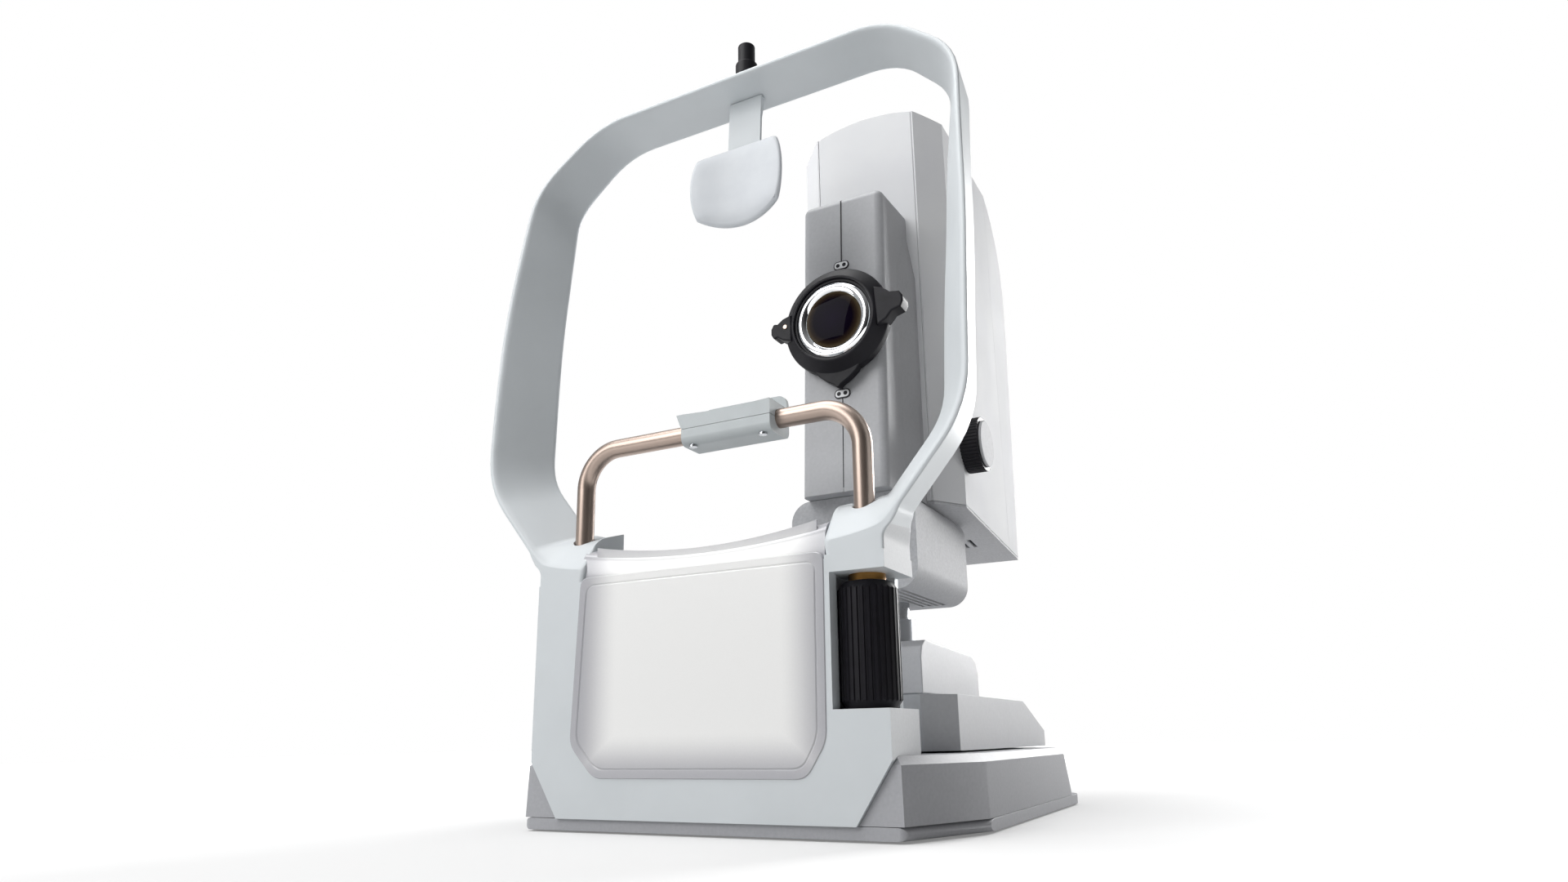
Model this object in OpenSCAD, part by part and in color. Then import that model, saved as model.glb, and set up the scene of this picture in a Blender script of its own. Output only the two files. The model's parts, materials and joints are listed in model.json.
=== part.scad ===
// Tabletop retinal camera: a base with a cross slide and lift that carry the
// camera head, and a headrest with a chin rest, forehead rest and lamp socket.
// Millimetres, +Z up. The patient sits on the -Y side and the operator on the +Y side.
// The origin is the middle of the base's footprint, at the table.

/* [Base] */
// Width of the base
base_w = 396; // [360:1:440]
// Depth of the base from its front edge to the back of its skirt
base_d = 448; // [420:1:500]
// How far the base's front edge stands out beside the headrest
base_margin = 5.5; // [3:0.5:12]
// Depth over which the base widens behind its front edge
base_corner_d = 87; // [70:1:110]
// Radius of the base's back corners
base_back_r = 45; // [20:1:80]
// Height of the skirt's top above the table
skirt_h = 10.5; // [8:0.5:16]
// Height of the base's flat top above the table
base_top = 56.5; // [50:0.5:70]
// Height of the sloped band round the base's top
base_bevel = 6; // [3:0.5:10]
// How far the cover's back edge stands in from the skirt at the bottom
base_back_step = 26; // [15:1:35]
// How far the cover's back edge leans in from bottom to top
base_back_lean = 22; // [10:1:35]
// Wall of the base cover
base_wall = 3; // [2:0.5:5]
// Floor of the base pan
pan_floor = 3.5; // [2.5:0.5:6]
// Height that the rubber feet lift the pan off the table
foot_h = 1.5; // [1:0.5:4]
// Radius of a rubber foot
foot_r = 13; // [8:1:18]
// Distance between table bolts across the base
bolt_dx = 260; // [200:10:300]
// Distance between table bolts front to back
bolt_dy = 300; // [260:10:340]
// Radius of the holes for the table bolts
bolt_hole_r = 3.3; // [2.2:0.1:5]

/* [Headrest body] */
// Width of the headrest's side posts beside the front panel
post_w = 47; // [45:0.5:52]
// Width of the cut at its lower corners
body_corner_w = 28; // [16:1:40]
// Height where the cut corners end
body_corner_z = 54; // [45:1:65]
// Height of its outer shoulder, where the loop starts
shoulder_z = 213; // [205:1:220]
// Height of the saddle round the tube's legs
saddle_z = 246; // [240:1:252]
// Depth of the headrest body
body_d = 58; // [56:1:64]
// Wall of the headrest body
body_wall = 4; // [3:0.5:6]
// Width of the front panel at its top
panel_top_w = 222; // [210:1:224]
// Width of the front panel at its bottom edge
panel_foot_w = 172; // [150:1:176]
// Height of the panel's bottom edge
panel_z0 = 52; // [45:1:60]
// Height of the panel's top corners
panel_z1 = 228; // [222:1:236]
// How far the panel's top edge dips in the middle
panel_dip = 10; // [4:1:14]
// Size of the panel's cut lower corners
panel_corner = 24; // [16:1:30]
// Thickness of the front panel
panel_t = 3; // [2:0.5:4]
// Width of the ledge that the panel lies on
panel_ledge = 8; // [5:0.5:12]

/* [Headrest loop] */
// Half width of the loop at its middle
loop_half_w = 231; // [225:1:240]
// Height of the loop's top edge
loop_top = 690; // [660:1:720]
// Half width of the flat top bar
loop_bar_half = 157; // [140:1:170]
// Height where the lower slant turns upright
loop_low_z = 296; // [285:1:310]
// Height where the side turns into the upper corner
loop_high_z = 624; // [600:1:640]
// Radius of the bends in the loop
loop_bend_r = 42; // [25:1:55]
// Depth of the loop's band
loop_band = 52; // [40:1:60]
// Width of the loop's front lip
loop_lip = 5; // [3:0.5:8]
// Thickness of the band's back edge at the legs
loop_leg_t = 36; // [28:1:40]
// Thickness of the band's back edge at the top bar
loop_bar_t = 11; // [9:1:18]
// How far the outer face draws in at the back of the legs
loop_draw = 9; // [2:0.5:12]
// How far the top bar stands behind the legs
loop_lean = 57; // [30:1:70]

/* [Chin rest] */
// Distance from the front panel's side to the middle of a leg
leg_in = 22.5; // [22:0.5:24]
// Distance of the legs behind the headrest's front face
leg_y = 28; // [25:1:31]
// Outer radius of the tube
tube_r = 8; // [6:0.5:9]
// Wall of the tube
tube_wall = 1.5; // [1:0.25:2.5]
// Height of the tube's top at rest
tube_top = 321; // [310:1:335]
// Bend radius of the tube
tube_bend = 34; // [28:1:40]
// Length of the chin tray
tray_w = 84; // [70:1:100]
// Depth of the chin tray
tray_d = 34; // [34:1:44]
// Radius of the hollow for the chin
tray_hollow_r = 400; // [400:10:900]
// How far the chin rest sits right of the middle
chin_x = 20; // [-30:1:30]
// Radius of the height knob
knob_r = 22.5; // [17:0.5:23]
// Bottom of the height knob
knob_z0 = 89; // [85:0.5:95]
// Top of the height knob
knob_z1 = 180; // [170:0.5:185]
// Number of ribs on the height knob
knob_ribs = 30; // [16:1:40]
// Radius of the lead screw
screw_r = 5; // [4:0.25:6]
// Height of the knob pocket's floor
pocket_z0 = 88.5; // [84:0.5:92]
// Height of the knob pocket's ceiling
pocket_z1 = 186; // [180:0.5:192]
// Wall between the front panel and the knob's pocket
pocket_wall = 4; // [3:0.5:5]

/* [Forehead rest] */
// Distance of the pad's middle behind the headrest's front face
pad_y = 72; // [60:1:80]
// Width of the forehead pad
pad_w = 98; // [80:1:120]
// Height of the pad's top edge
pad_z1 = 620; // [600:1:630]
// Height of the pad's lowest point
pad_z0 = 543; // [530:1:560]
// Thickness of the pad
pad_t = 9; // [6:0.5:14]
// Radius of the pad's hollow face
pad_face_r = 105; // [80:5:160]
// Width of the strap
strap_w = 36; // [24:1:46]
// Thickness of the strap
strap_t = 3; // [2:0.5:4]

/* [Lamp socket] */
// Outer radius of the socket's foot
socket_r = 11; // [9:0.5:14]
// Outer radius of the socket's neck
socket_neck_r = 8.5; // [7:0.5:10]
// Radius of the socket's bore
socket_bore_r = 4; // [3:0.25:5]
// Height of the socket above the top bar
socket_h = 54; // [40:1:70]
// Depth of the socket's bore
socket_bore_d = 36; // [20:1:38]

/* [Cross slide] */
// Half width of the deck
deck_half_w = 170; // [160:1:176]
// Front of the deck behind the headrest's front face
deck_y0 = 96; // [92:1:110]
// Back of the deck behind the headrest's front face
deck_y1 = 407; // [395:1:415]
// Where the deck's top starts to slope down
deck_slope_y = 325; // [300:1:350]
// Height of the deck's flat top
deck_top = 101; // [96:1:106]
// Size of the deck's cut front corners
deck_corner = 24; // [10:1:30]
// Gap under the deck
deck_gap = 1.5; // [1:0.5:3]
// Wall of the deck cover
deck_wall = 3; // [2:0.5:4]
// Half distance between the lower rails
y_rail_x = 110; // [80:1:130]
// Front end of the lower rails
y_rail_y0 = 128; // [120:1:134]
// Length of the lower rails
y_rail_l = 220; // [214:1:222]
// Height of a rail
rail_h = 8; // [6:0.5:9]
// Width of a rail
rail_w = 12; // [8:0.5:16]
// Sideways and upward gap of a block on its rail
rail_gap = 0.3; // [0.1:0.05:0.5]
// Front upper rail behind the headrest's front face
x_rail_y0 = 216; // [212:1:220]
// Distance between the upper rails
x_rail_gap = 46; // [40:1:50]
// Left end of the cross rails
x_rail_x0 = -118; // [-150:1:-112]
// Right end of the cross rails
x_rail_x1 = 110; // [110:1:150]
// Height of the cross rails
x_rail_h = 4; // [4:0.5:8]
// Thickness of the carriage plates
plate_t = 6; // [4:0.5:8]

/* [Stage] */
// Sideways place of the stage at rest
stage_x = 62; // [0:1:64]
// Half width of the stage cover
stage_half_w = 50; // [48:1:60]
// Front of the stage cover behind the headrest's front face
stage_y0 = 200; // [195:1:205]
// Back of the stage cover behind the headrest's front face
stage_y1 = 378; // [370:1:390]
// Height of the stage cover's top
stage_top = 155; // [150:1:158]
// Wall of the stage cover
stage_wall = 2.5; // [2:0.5:4]
// Distance of the lift column behind the headrest's front face
column_y = 262; // [255:1:265]
// Outer radius of the column
column_r = 22; // [20.5:0.5:24]
// Radius of the ram that slides in the column
ram_r = 18; // [15:0.5:18.5]
// Bottom of the ram at rest
ram_z0 = 136; // [134:1:140]
// Running clearance of round parts that turn or slide
run_fit = 0.05; // [0.02:0.01:0.09]
// Gap between pieces of the casing
seam = 0.4; // [0.3:0.05:0.6]

/* [Joystick] */
// Width and depth of the joystick's pod
pod_w = 64; // [62:1:70]
// Back edge of the pod, in from the back of the stage cover
pod_in = -10; // [-16:1:4]
// Height of the pod's top
pod_top = 140; // [138:1:146]
// Height of the joystick's pivot
pivot_z = 124; // [123:0.5:126]
// Outer radius of the dome under the joystick
dome_r = 26; // [25:0.5:27]
// Height of the joystick's top above its pivot
stick_h = 100; // [90:1:130]
// Radius of the joystick's handle
stick_r = 9; // [7:0.5:12]
// Radius of the height ring
height_ring_r = 17; // [14:0.5:20]

/* [Camera head] */
// Height of the optical axis
axis_z = 455; // [450:1:470]
// Half width of the head's side covers
head_half_w = 82; // [80:1:90]
// Half width of the head's front plate
plate_half_w = 57; // [52:1:60]
// Front plate behind the headrest's front face
plate_y = 241; // [236:1:246]
// Depth of the slanted sides between front plate and side covers
head_bevel_d = 24; // [16:1:26]
// Back of the head behind the headrest's front face
head_y1 = 487; // [470:1:500]
// Height of the crown of the head
head_top = 736; // [720:1:745]
// Radius of the crown across the head
crown_r = 180; // [150:5:260]
// Height of the head's underside at its front
head_z0 = 288; // [286:1:292]
// How far the underside drops towards the back
head_drop = 26; // [10:1:30]
// Radius of the head's upper back edge
head_back_r = 130; // [90:1:150]
// Wall of the head's covers
head_wall = 3; // [2:0.5:4]
// Half width of the grey front cover
cover_half_w = 43; // [40:1:46]
// Front of the cover at its foot
cover_y0 = 153.5; // [150:0.5:158]
// How far the cover's face leans back from foot to top
cover_lean = 17; // [10:1:22]
// Height of the cover's top
cover_top = 600; // [590:1:620]
// Half width of the textured lower body
lower_half_w = 62; // [60:1:70]
// Front of the lower body behind the headrest's front face
lower_y0 = 170; // [165:1:175]
// Back of the lower body behind the headrest's front face
lower_y1 = 320; // [315:1:335]
// Height of the lower body's underside
lower_z0 = 197; // [190:1:202]
// Corner radius of the lower body
lower_r = 20; // [12:1:26]
// Number of vent slots under the lower body
vent_count = 6; // [4:1:8]

/* [Objective] */
// Outer radius of the lens barrel
barrel_r = 40; // [36:0.5:40]
// Front of the barrel behind the headrest's front face
barrel_y0 = 141; // [139:0.5:143]
// Outer radius of the turning ring
ring_r = 54; // [52:0.5:58]
// Radius at the tips of the ring's grips
ring_tip_r = 70; // [64:0.5:72]
// Front of the ring behind the headrest's front face
ring_y0 = 139; // [137:0.5:141]
// Depth of the ring
ring_d = 18; // [12:0.5:18]
// Radius of the front lens
lens_r = 28; // [22:0.5:29]
// Outer radius of the boss on the front cover
boss_r = 52; // [48:0.5:54]

/* [Focus] */
// Height of the focus shaft
focus_z = 350; // [340:1:360]
// Distance of the focus shaft behind the headrest's front face
focus_y = 273; // [270:1:280]
// Radius of the focus shaft
focus_shaft_r = 5; // [3:0.25:6]
// Radius of a focus knob
focus_knob_r = 27.5; // [22:0.5:30]
// Thickness of a focus knob
focus_knob_t = 18; // [12:0.5:24]
// Number of ribs on a focus knob
focus_ribs = 48; // [24:1:60]

/* [Hidden] */
$fn = 64;
cut = 1;

front_y = -base_d / 2;
panel_half = panel_top_w / 2;
body_half = panel_half + post_w;
foot_half = body_half - body_corner_w;
leg_x = panel_half + leg_in;
pocket_x = panel_half + pocket_wall;
base_front = body_half + base_margin;
deck_z0 = base_top + deck_gap;
y_block_top = base_top + rail_h + plate_t;
x_block_top = deck_top + x_rail_h + plate_t;
stage_plate_top = x_block_top + plate_t;
stage_z0 = deck_top + x_rail_h + deck_gap;
column_top = lower_z0 - 17;
lean_angle = atan(cover_lean / (cover_top - head_z0));
pod_x = -stage_half_w - pod_w / 2;
pod_y = stage_y1 - pod_in - pod_w / 2;

white_paint = "#DDE1E3";
head_white = "#E0E1E5";
cover_grey = "#A9AAAD";
base_grey = "#8F8F94";
dark_plastic = "#1B1A20";
steel = "#B9BCC0";
bronze = "#9A6A3A";
champagne = "#BBA79B";

// Everything is drawn from the headrest's front face, then moved to the base's middle
module placed() {
    translate([0, front_y, 0]) children();
}

// What rides on the stage is drawn about the optical axis
module on_stage() {
    placed() translate([stage_x, 0, 0]) children();
}

// Extrude a front view (x, z) from y0 to y1
module along_y(y0, y1) {
    translate([0, y1, 0]) rotate([90, 0, 0]) linear_extrude(y1 - y0) children();
}

// Extrude a side view (y, z) from x0 to x1
module along_x(x0, x1) {
    translate([x0, 0, 0]) rotate([90, 0, 90]) linear_extrude(x1 - x0) children();
}

// Rod along Y
module rod_y(r, y0, y1, x = 0, z = 0) {
    translate([x, y1, z]) rotate([90, 0, 0]) cylinder(r = r, h = y1 - y0);
}

// Rod along X
module rod_x(r, x0, x1, y = 0, z = 0) {
    translate([x0, y, z]) rotate([0, 90, 0]) cylinder(r = r, h = x1 - x0);
}

// Box between two corners
module box(low, high) {
    translate(low) cube(high - low);
}

// Rectangle between two corners, rounded
module rounded_rect(low, high, r) {
    translate([low[0] + r, low[1]]) square([high[0] - low[0] - 2 * r, high[1] - low[1]]);
    translate([low[0], low[1] + r]) square([high[0] - low[0], high[1] - low[1] - 2 * r]);
    for (x = [low[0] + r, high[0] - r], z = [low[1] + r, high[1] - r])
        translate([x, z]) circle(r);
}

function unit(v) = v / norm(v);
function turn(a) = a > 180 ? a - 360 : a < -180 ? a + 360 : a;

// Points of an arc of radius r that rounds corner b between a and c
function corner_arc(a, b, c, r, n) =
    let (
        u = unit(a - b),
        w = unit(c - b),
        half = acos(u * w) / 2,
        middle = b + unit(u + w) * (r / sin(half)),
        from = b + u * (r / tan(half)) - middle,
        to = b + w * (r / tan(half)) - middle,
        a0 = atan2(from[1], from[0]),
        sweep = turn(atan2(to[1], to[0]) - a0)
    )
    [for (i = [0 : n]) middle + r * [cos(a0 + sweep * i / n), sin(a0 + sweep * i / n)]];

function mirrored(half) = concat(half, [for (i = [len(half) - 1 : -1 : 0]) [-half[i][0], half[i][1]]]);

// Base

// Plan of the base, set in by g, with its back edge set in by back
function base_plan(g, back) = mirrored(concat(
    [[base_front - g, 3 + g], [base_w / 2 - g, base_corner_d + g]],
    corner_arc([base_w / 2 - g, base_corner_d], [base_w / 2 - g, base_d - back],
        [0, base_d - back], base_back_r - g, 8)
));

module base_slab(g, back, z) {
    translate([0, 0, z]) linear_extrude(0.1) polygon(base_plan(g, back));
}

// Front view of the headrest body, grown by g
function body_outline(g) = mirrored([
    [foot_half + g / 2, skirt_h - g],
    [body_half + g, body_corner_z - g / 2],
    [body_half + g, shoulder_z]
]);

skirt_in = 12;

module at_bolts(z) {
    for (x = [-1, 1], y = [-1, 1])
        translate([x * bolt_dx / 2, base_d / 2 + y * bolt_dy / 2, z]) children();
}

module base_pan() {
    color(base_grey) placed() difference() {
        union() {
            translate([0, 0, foot_h]) linear_extrude(skirt_h - foot_h) polygon(base_plan(0, 0));
            at_bolts(0) cylinder(r = 2 * bolt_hole_r, h = foot_h + cut);
        }
        difference() {
            translate([0, 0, foot_h + pan_floor]) linear_extrude(skirt_h)
                polygon(base_plan(skirt_in, skirt_in));
            translate([0, 0, -cut]) linear_extrude(skirt_h + 2 * cut)
                square([4 * base_w, 2 * body_d + skirt_in], center = true);
        }
        at_bolts(-cut) cylinder(r = bolt_hole_r, h = skirt_h + 2 * cut);
    }
}

module base_feet() {
    color(dark_plastic) placed()
        for (x = [-1, 1], y = [70, base_d - 60])
            translate([x * (bolt_dx / 2 + 24), y, 0]) cylinder(r = foot_r, h = foot_h);
}

module base_cover_form(g) {
    hull() {
        base_slab(g, base_back_step + g, skirt_h + seam);
        base_slab(g + 1, base_back_step + base_back_lean - base_bevel / 2 + g, base_top - base_bevel - g);
        base_slab(g + base_bevel, base_back_step + base_back_lean + base_bevel / 2 + g, base_top - 0.1 - g);
    }
}

inlet_x0 = 56;
inlet_x1 = 150;
inlet_z0 = 17;
inlet_z1 = 45;
inlet_y1 = base_d - base_back_step - 4;

module base_cover() {
    color(base_grey) placed() difference() {
        base_cover_form(0);
        difference() {
            base_cover_form(base_wall);
            translate([0, 0, -cut]) linear_extrude(base_top)
                square([4 * base_w, 2 * (body_d + base_wall + 1)], center = true);
        }
        translate([0, 0, -base_top]) linear_extrude(base_top + skirt_h + seam + cut)
            polygon(base_plan(base_wall, base_back_step + base_wall));
        along_y(-cut, body_d + seam) polygon(body_outline(seam));
        box([inlet_x0 - seam, base_d - 110, inlet_z0 - seam], [inlet_x1 + seam, base_d, inlet_z1 + seam]);
    }
}

rocker_x = inlet_x0 + 18;
rocker_half = 9;
rocker_z = (inlet_z0 + inlet_z1) / 2;
rocker_y = inlet_y1 - 6;
rocker_gap = 1;

module mains_inlet() {
    color(dark_plastic) placed() difference() {
        box([inlet_x0, inlet_y1 - 40, inlet_z0], [inlet_x1, inlet_y1, inlet_z1]);
        box([rocker_x - rocker_half - rocker_gap, inlet_y1 - 16, rocker_z - rocker_half - rocker_gap],
            [rocker_x + rocker_half + rocker_gap, inlet_y1 + cut, rocker_z + rocker_half + rocker_gap]);
        along_y(inlet_y1 - 18, inlet_y1 + cut)
            rounded_rect([inlet_x1 - 44, rocker_z - 9], [inlet_x1 - 16, rocker_z + 9], 3);
        rod_x(2 + run_fit, rocker_x - rocker_half - 4, rocker_x + rocker_half + 4, rocker_y, rocker_z);
    }
}

module power_switch() {
    color(dark_plastic) placed() {
        along_x(rocker_x - rocker_half, rocker_x + rocker_half) polygon([
            [rocker_y - 4, rocker_z - 6], [rocker_y + 5, rocker_z - rocker_half],
            [rocker_y + 4, rocker_z], [rocker_y + 7, rocker_z + rocker_half], [rocker_y - 4, rocker_z + 6]
        ]);
        rod_x(2, rocker_x - rocker_half - 3, rocker_x + rocker_half + 3, rocker_y, rocker_z);
    }
}

module y_rails() {
    color(steel) placed()
        for (x = [-y_rail_x, y_rail_x])
            box([x - rail_w / 2, y_rail_y0, base_top],
                [x + rail_w / 2, y_rail_y0 + y_rail_l, base_top + rail_h]);
}

// Headrest

// Half of the loop's front edge, from the shoulder to the middle of the top bar
loop_foot = [body_half, shoulder_z];
loop_low = [loop_half_w - 4, loop_low_z];
loop_mid = [loop_half_w, (loop_low_z + loop_high_z) / 2];
loop_high = [loop_half_w - 5, loop_high_z];
loop_kink = [loop_bar_half, loop_top];
loop_slant = unit(loop_low - loop_foot);
loop_start = loop_foot + 24 * loop_slant;
loop_in = [-loop_slant[1], loop_slant[0]];
loop_half = concat(
    [loop_start],
    corner_arc(loop_foot, loop_low, loop_mid, loop_bend_r, 6),
    [loop_mid],
    corner_arc(loop_mid, loop_high, loop_kink, loop_bend_r, 7),
    corner_arc(loop_high, loop_kink, [0, loop_top], loop_bend_r, 5)
);
loop_path = mirrored(loop_half);
loop_n = len(loop_path);

// Share of the loop's height, from 0 at its start to 1 at its top
function loop_rise(z) = (z - loop_start[1]) / (loop_top - loop_start[1]);
function loop_y(z) = loop_lean * pow(loop_rise(z), 2);
function loop_t(z) = loop_leg_t - (loop_leg_t - loop_bar_t) * pow(loop_rise(z), 3);

// Unit vector into the loop at point i of its path
function loop_normal(i) =
    let (
        a = loop_path[max(i - 1, 0)],
        b = loop_path[min(i + 1, loop_n - 1)],
        t = i == 0 ? loop_slant : i == loop_n - 1 ? [loop_slant[0], -loop_slant[1]] : unit(b - a)
    )
    [-t[1], t[0]];

// The band's section at point i: front edge, lip, back inner and back outer corner
function loop_section(i) =
    let (
        p = loop_path[i],
        n = loop_normal(i),
        y = loop_y(p[1]),
        t = loop_t(p[1]),
        reach = [[0, 0], [loop_lip, 0], [t, loop_band], [loop_draw * t / loop_leg_t, loop_band]]
    )
    [for (r = reach) [p[0] + n[0] * r[0], y + r[1], p[1] + n[1] * r[0]]];

module headrest_loop() {
    points = [for (i = [0 : loop_n - 1]) each loop_section(i)];
    walls = [for (i = [0 : loop_n - 2], j = [0 : 3]) each
        let (a = 4 * i + j, b = 4 * i + (j + 1) % 4)
        [[a, a + 4, b], [b, a + 4, b + 4]]];
    last = 4 * (loop_n - 1);
    color(white_paint) placed()
        polyhedron(points, concat(walls, [[0, 1, 2, 3], [last + 3, last + 2, last + 1, last]]));
}

// Height of the panel's top edge at x
function panel_edge(x) = panel_z1 - panel_dip * (1 - pow(2 * x / panel_top_w, 2));
panel_side = panel_half - 3;
edge_steps = 12;

// Half of the panel's top edge, grown by g
function panel_top(g) = [
    for (i = [edge_steps : -1 : 0])
        let (share = i / edge_steps)
        [(panel_half + g) * share, panel_edge(panel_half * share)]
];

// Front view of the panel, grown by g
function panel_outline(g) = mirrored(concat(
    [[panel_foot_w / 2 + g / 2, panel_z0 - g], [panel_side + g, panel_z0 + panel_corner - g / 2]],
    panel_top(g)
));

module headrest_form() {
    saddle = loop_start + loop_leg_t * loop_in;
    polygon(mirrored(concat(
        [[foot_half, skirt_h], [body_half, body_corner_z], loop_foot, loop_start, saddle],
        [[leg_x + tube_r, saddle_z], [panel_half + seam + 1, saddle_z]],
        panel_top(seam)
    )));
}

cavity_y = panel_t + body_wall;
bush_r = tube_r + 3;
bush_flange_r = tube_r + 6;
bush_flange_t = 5;
rear_cover_t = 2.5;
side_cavity_x = body_half - body_wall;
rear_half = side_cavity_x - 10;

module headrest_body() {
    color(white_paint) placed() difference() {
        along_y(0, body_d) headrest_form();
        along_x(-body_half - 40, body_half + 40)
            polygon([[-cut, shoulder_z + 6], [loop_band / 2, saddle_z + 30], [-cut, saddle_z + 30]]);
        along_y(-cut, panel_t + seam) polygon(panel_outline(seam));
        along_y(-cut, body_d + cut) polygon(panel_outline(-panel_ledge));
        box([-side_cavity_x, cavity_y, body_corner_z], [-pocket_x - body_wall, body_d + cut, pocket_z1]);
        box([-foot_half - body_wall, cavity_y, skirt_h + body_wall],
            [-pocket_x - body_wall, body_d + cut, pocket_z1]);
        box([pocket_x + body_wall, cavity_y, skirt_h + body_wall],
            [foot_half + body_wall, body_d + cut, pocket_z0 - body_wall]);
        box([-rear_half - seam, body_d - rear_cover_t, body_corner_z],
            [rear_half + seam, body_d + cut, shoulder_z - body_wall]);
        box([pocket_x, -cut, pocket_z0], [body_half + cut, body_d - rear_cover_t - body_wall, pocket_z1]);
        box([rear_half + 2, leg_y, pocket_z0], [body_half + cut, body_d + cut, pocket_z1]);
        translate([leg_x, leg_y, pocket_z0]) cylinder(r = knob_r + 1.5, h = pocket_z1 - pocket_z0);
        for (x = [-leg_x, leg_x])
            translate([x, leg_y, pocket_z1 - cut]) cylinder(r = bush_r + run_fit, h = saddle_z);
        translate([leg_x, leg_y, skirt_h + body_wall]) cylinder(r = screw_r + 1, h = pocket_z0);
    }
}

module headrest_rear_cover() {
    color(white_paint) placed()
        box([-rear_half, body_d - rear_cover_t, body_corner_z + seam],
            [rear_half, body_d, shoulder_z - body_wall - seam]);
}

module front_panel() {
    color("#EDEDEC") placed() along_y(0, panel_t) polygon(panel_outline(0));
}

backing_y = panel_t + seam + body_wall;
backing_t = 2;

module panel_backing() {
    color("#F2F2F2") placed()
        along_y(backing_y, backing_y + backing_t) polygon(panel_outline(-panel_ledge - seam));
}

clip_x = panel_side - 6;
clip_w = 4;
clip_h = 16;

module panel_clips() {
    color("#C4C4C9") placed()
        for (x = [-1, 1], z = [panel_z0 + 40, panel_z1 - 36])
            translate([x * clip_x - clip_w / 2, panel_t, z - clip_h / 2]) cube([clip_w, seam, clip_h]);
}

module leg_bush(x) {
    color(bronze) placed() translate([x, leg_y, 0]) difference() {
        union() {
            translate([0, 0, pocket_z1]) cylinder(r = bush_r, h = saddle_z - pocket_z1 - 14);
            translate([0, 0, pocket_z1 - bush_flange_t]) cylinder(r = bush_flange_r, h = bush_flange_t);
        }
        translate([0, 0, pocket_z1 - 2 * bush_flange_t]) cylinder(r = tube_r + run_fit, h = saddle_z);
    }
}

module leg_bush_left() {
    leg_bush(-leg_x);
}

module leg_bush_right() {
    leg_bush(leg_x);
}

guide_z0 = pocket_z0;
guide_h = 40;
leg_end_left = body_corner_z + 32;
leg_end_right = 150;

module leg_guide() {
    color(steel) placed() difference() {
        box([-side_cavity_x, cavity_y, guide_z0],
            [-pocket_x - body_wall, body_d - rear_cover_t, guide_z0 + guide_h]);
        translate([-leg_x, leg_y, guide_z0 - cut]) cylinder(r = tube_r + run_fit, h = guide_h + 2 * cut);
    }
}

strap_y = pad_y + pad_t + seam;
bar_under = loop_top - loop_lip - 4;

module forehead_strap() {
    color(white_paint) placed() along_x(-strap_w / 2, strap_w / 2) polygon([
        [strap_y, pad_z0 + 32], [strap_y, pad_z1], [strap_y + 2, pad_z1 + 34], [strap_y + 4, bar_under],
        [strap_y + 12, bar_under - 0.5], [strap_y + 2 + strap_t, pad_z1 + 34],
        [strap_y + strap_t, pad_z1], [strap_y + strap_t, pad_z0 + 32]
    ]);
}

module forehead_pad() {
    color("#D5D8DC") placed() intersection() {
        along_y(0, 2 * pad_y) intersection() {
            rounded_rect([-pad_w / 2, pad_z0], [pad_w / 2, pad_z1], 14);
            translate([0, pad_z0 + pad_face_r]) circle(pad_face_r);
        }
        translate([0, pad_y - pad_face_r, 0]) difference() {
            cylinder(r = pad_face_r + pad_t, h = loop_top, $fn = 128);
            translate([0, 0, -cut]) cylinder(r = pad_face_r, h = loop_top + 2 * cut, $fn = 128);
        }
    }
}

socket_y = loop_lean + loop_band * 0.6;
socket_sink = 1;

module lamp_socket() {
    color(dark_plastic) placed() translate([0, socket_y, loop_top - socket_sink]) difference() {
        union() {
            cylinder(r = socket_r, h = socket_h * 0.6);
            cylinder(r = socket_neck_r, h = socket_h);
        }
        translate([0, 0, socket_h - socket_bore_d]) cylinder(r = socket_bore_r, h = socket_bore_d + cut);
    }
}

// Chin rest

module tube_form(r) {
    bend_x = leg_x - tube_bend;
    bend_z = tube_top - tube_bend;
    for (side = [-1, 1], foot = side < 0 ? leg_end_left : leg_end_right)
        translate([side * leg_x, leg_y, foot]) cylinder(r = r, h = bend_z - foot);
    rod_x(r, -bend_x, bend_x, leg_y, tube_top);
    for (side = [0, 1])
        translate([0, leg_y, 0]) mirror([side, 0, 0]) translate([bend_x, 0, bend_z]) rotate([90, 0, 0])
            rotate_extrude(angle = 90) translate([tube_bend, 0]) circle(r);
}

module chin_tube() {
    color(champagne) placed() difference() {
        tube_form(tube_r);
        tube_form(tube_r - tube_wall);
    }
}

screw_plug = 24;
screw_end = 62;

module lead_screw() {
    color(steel) placed() translate([leg_x, leg_y, 0]) {
        translate([0, 0, screw_end]) cylinder(r = screw_r, h = leg_end_right - screw_end);
        translate([0, 0, leg_end_right]) cylinder(r = tube_r - tube_wall - run_fit, h = screw_plug);
    }
}

clamp_screw_x = tray_w / 2 - 9;
clamp_screw_y = leg_y - tube_r - 3.6;
clamp_screw_r = 2;
clamp_h = tube_r + 6;
tray_h = 13;
wing_w = 5;
rest_h = 25;
rest_t = 4;

module clamp_screw_holes() {
    for (x = [-1, 1])
        translate([x * clamp_screw_x, clamp_screw_y, tube_top - clamp_h - cut])
            cylinder(r = clamp_screw_r + run_fit, h = clamp_h + 9 + cut);
}

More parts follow.
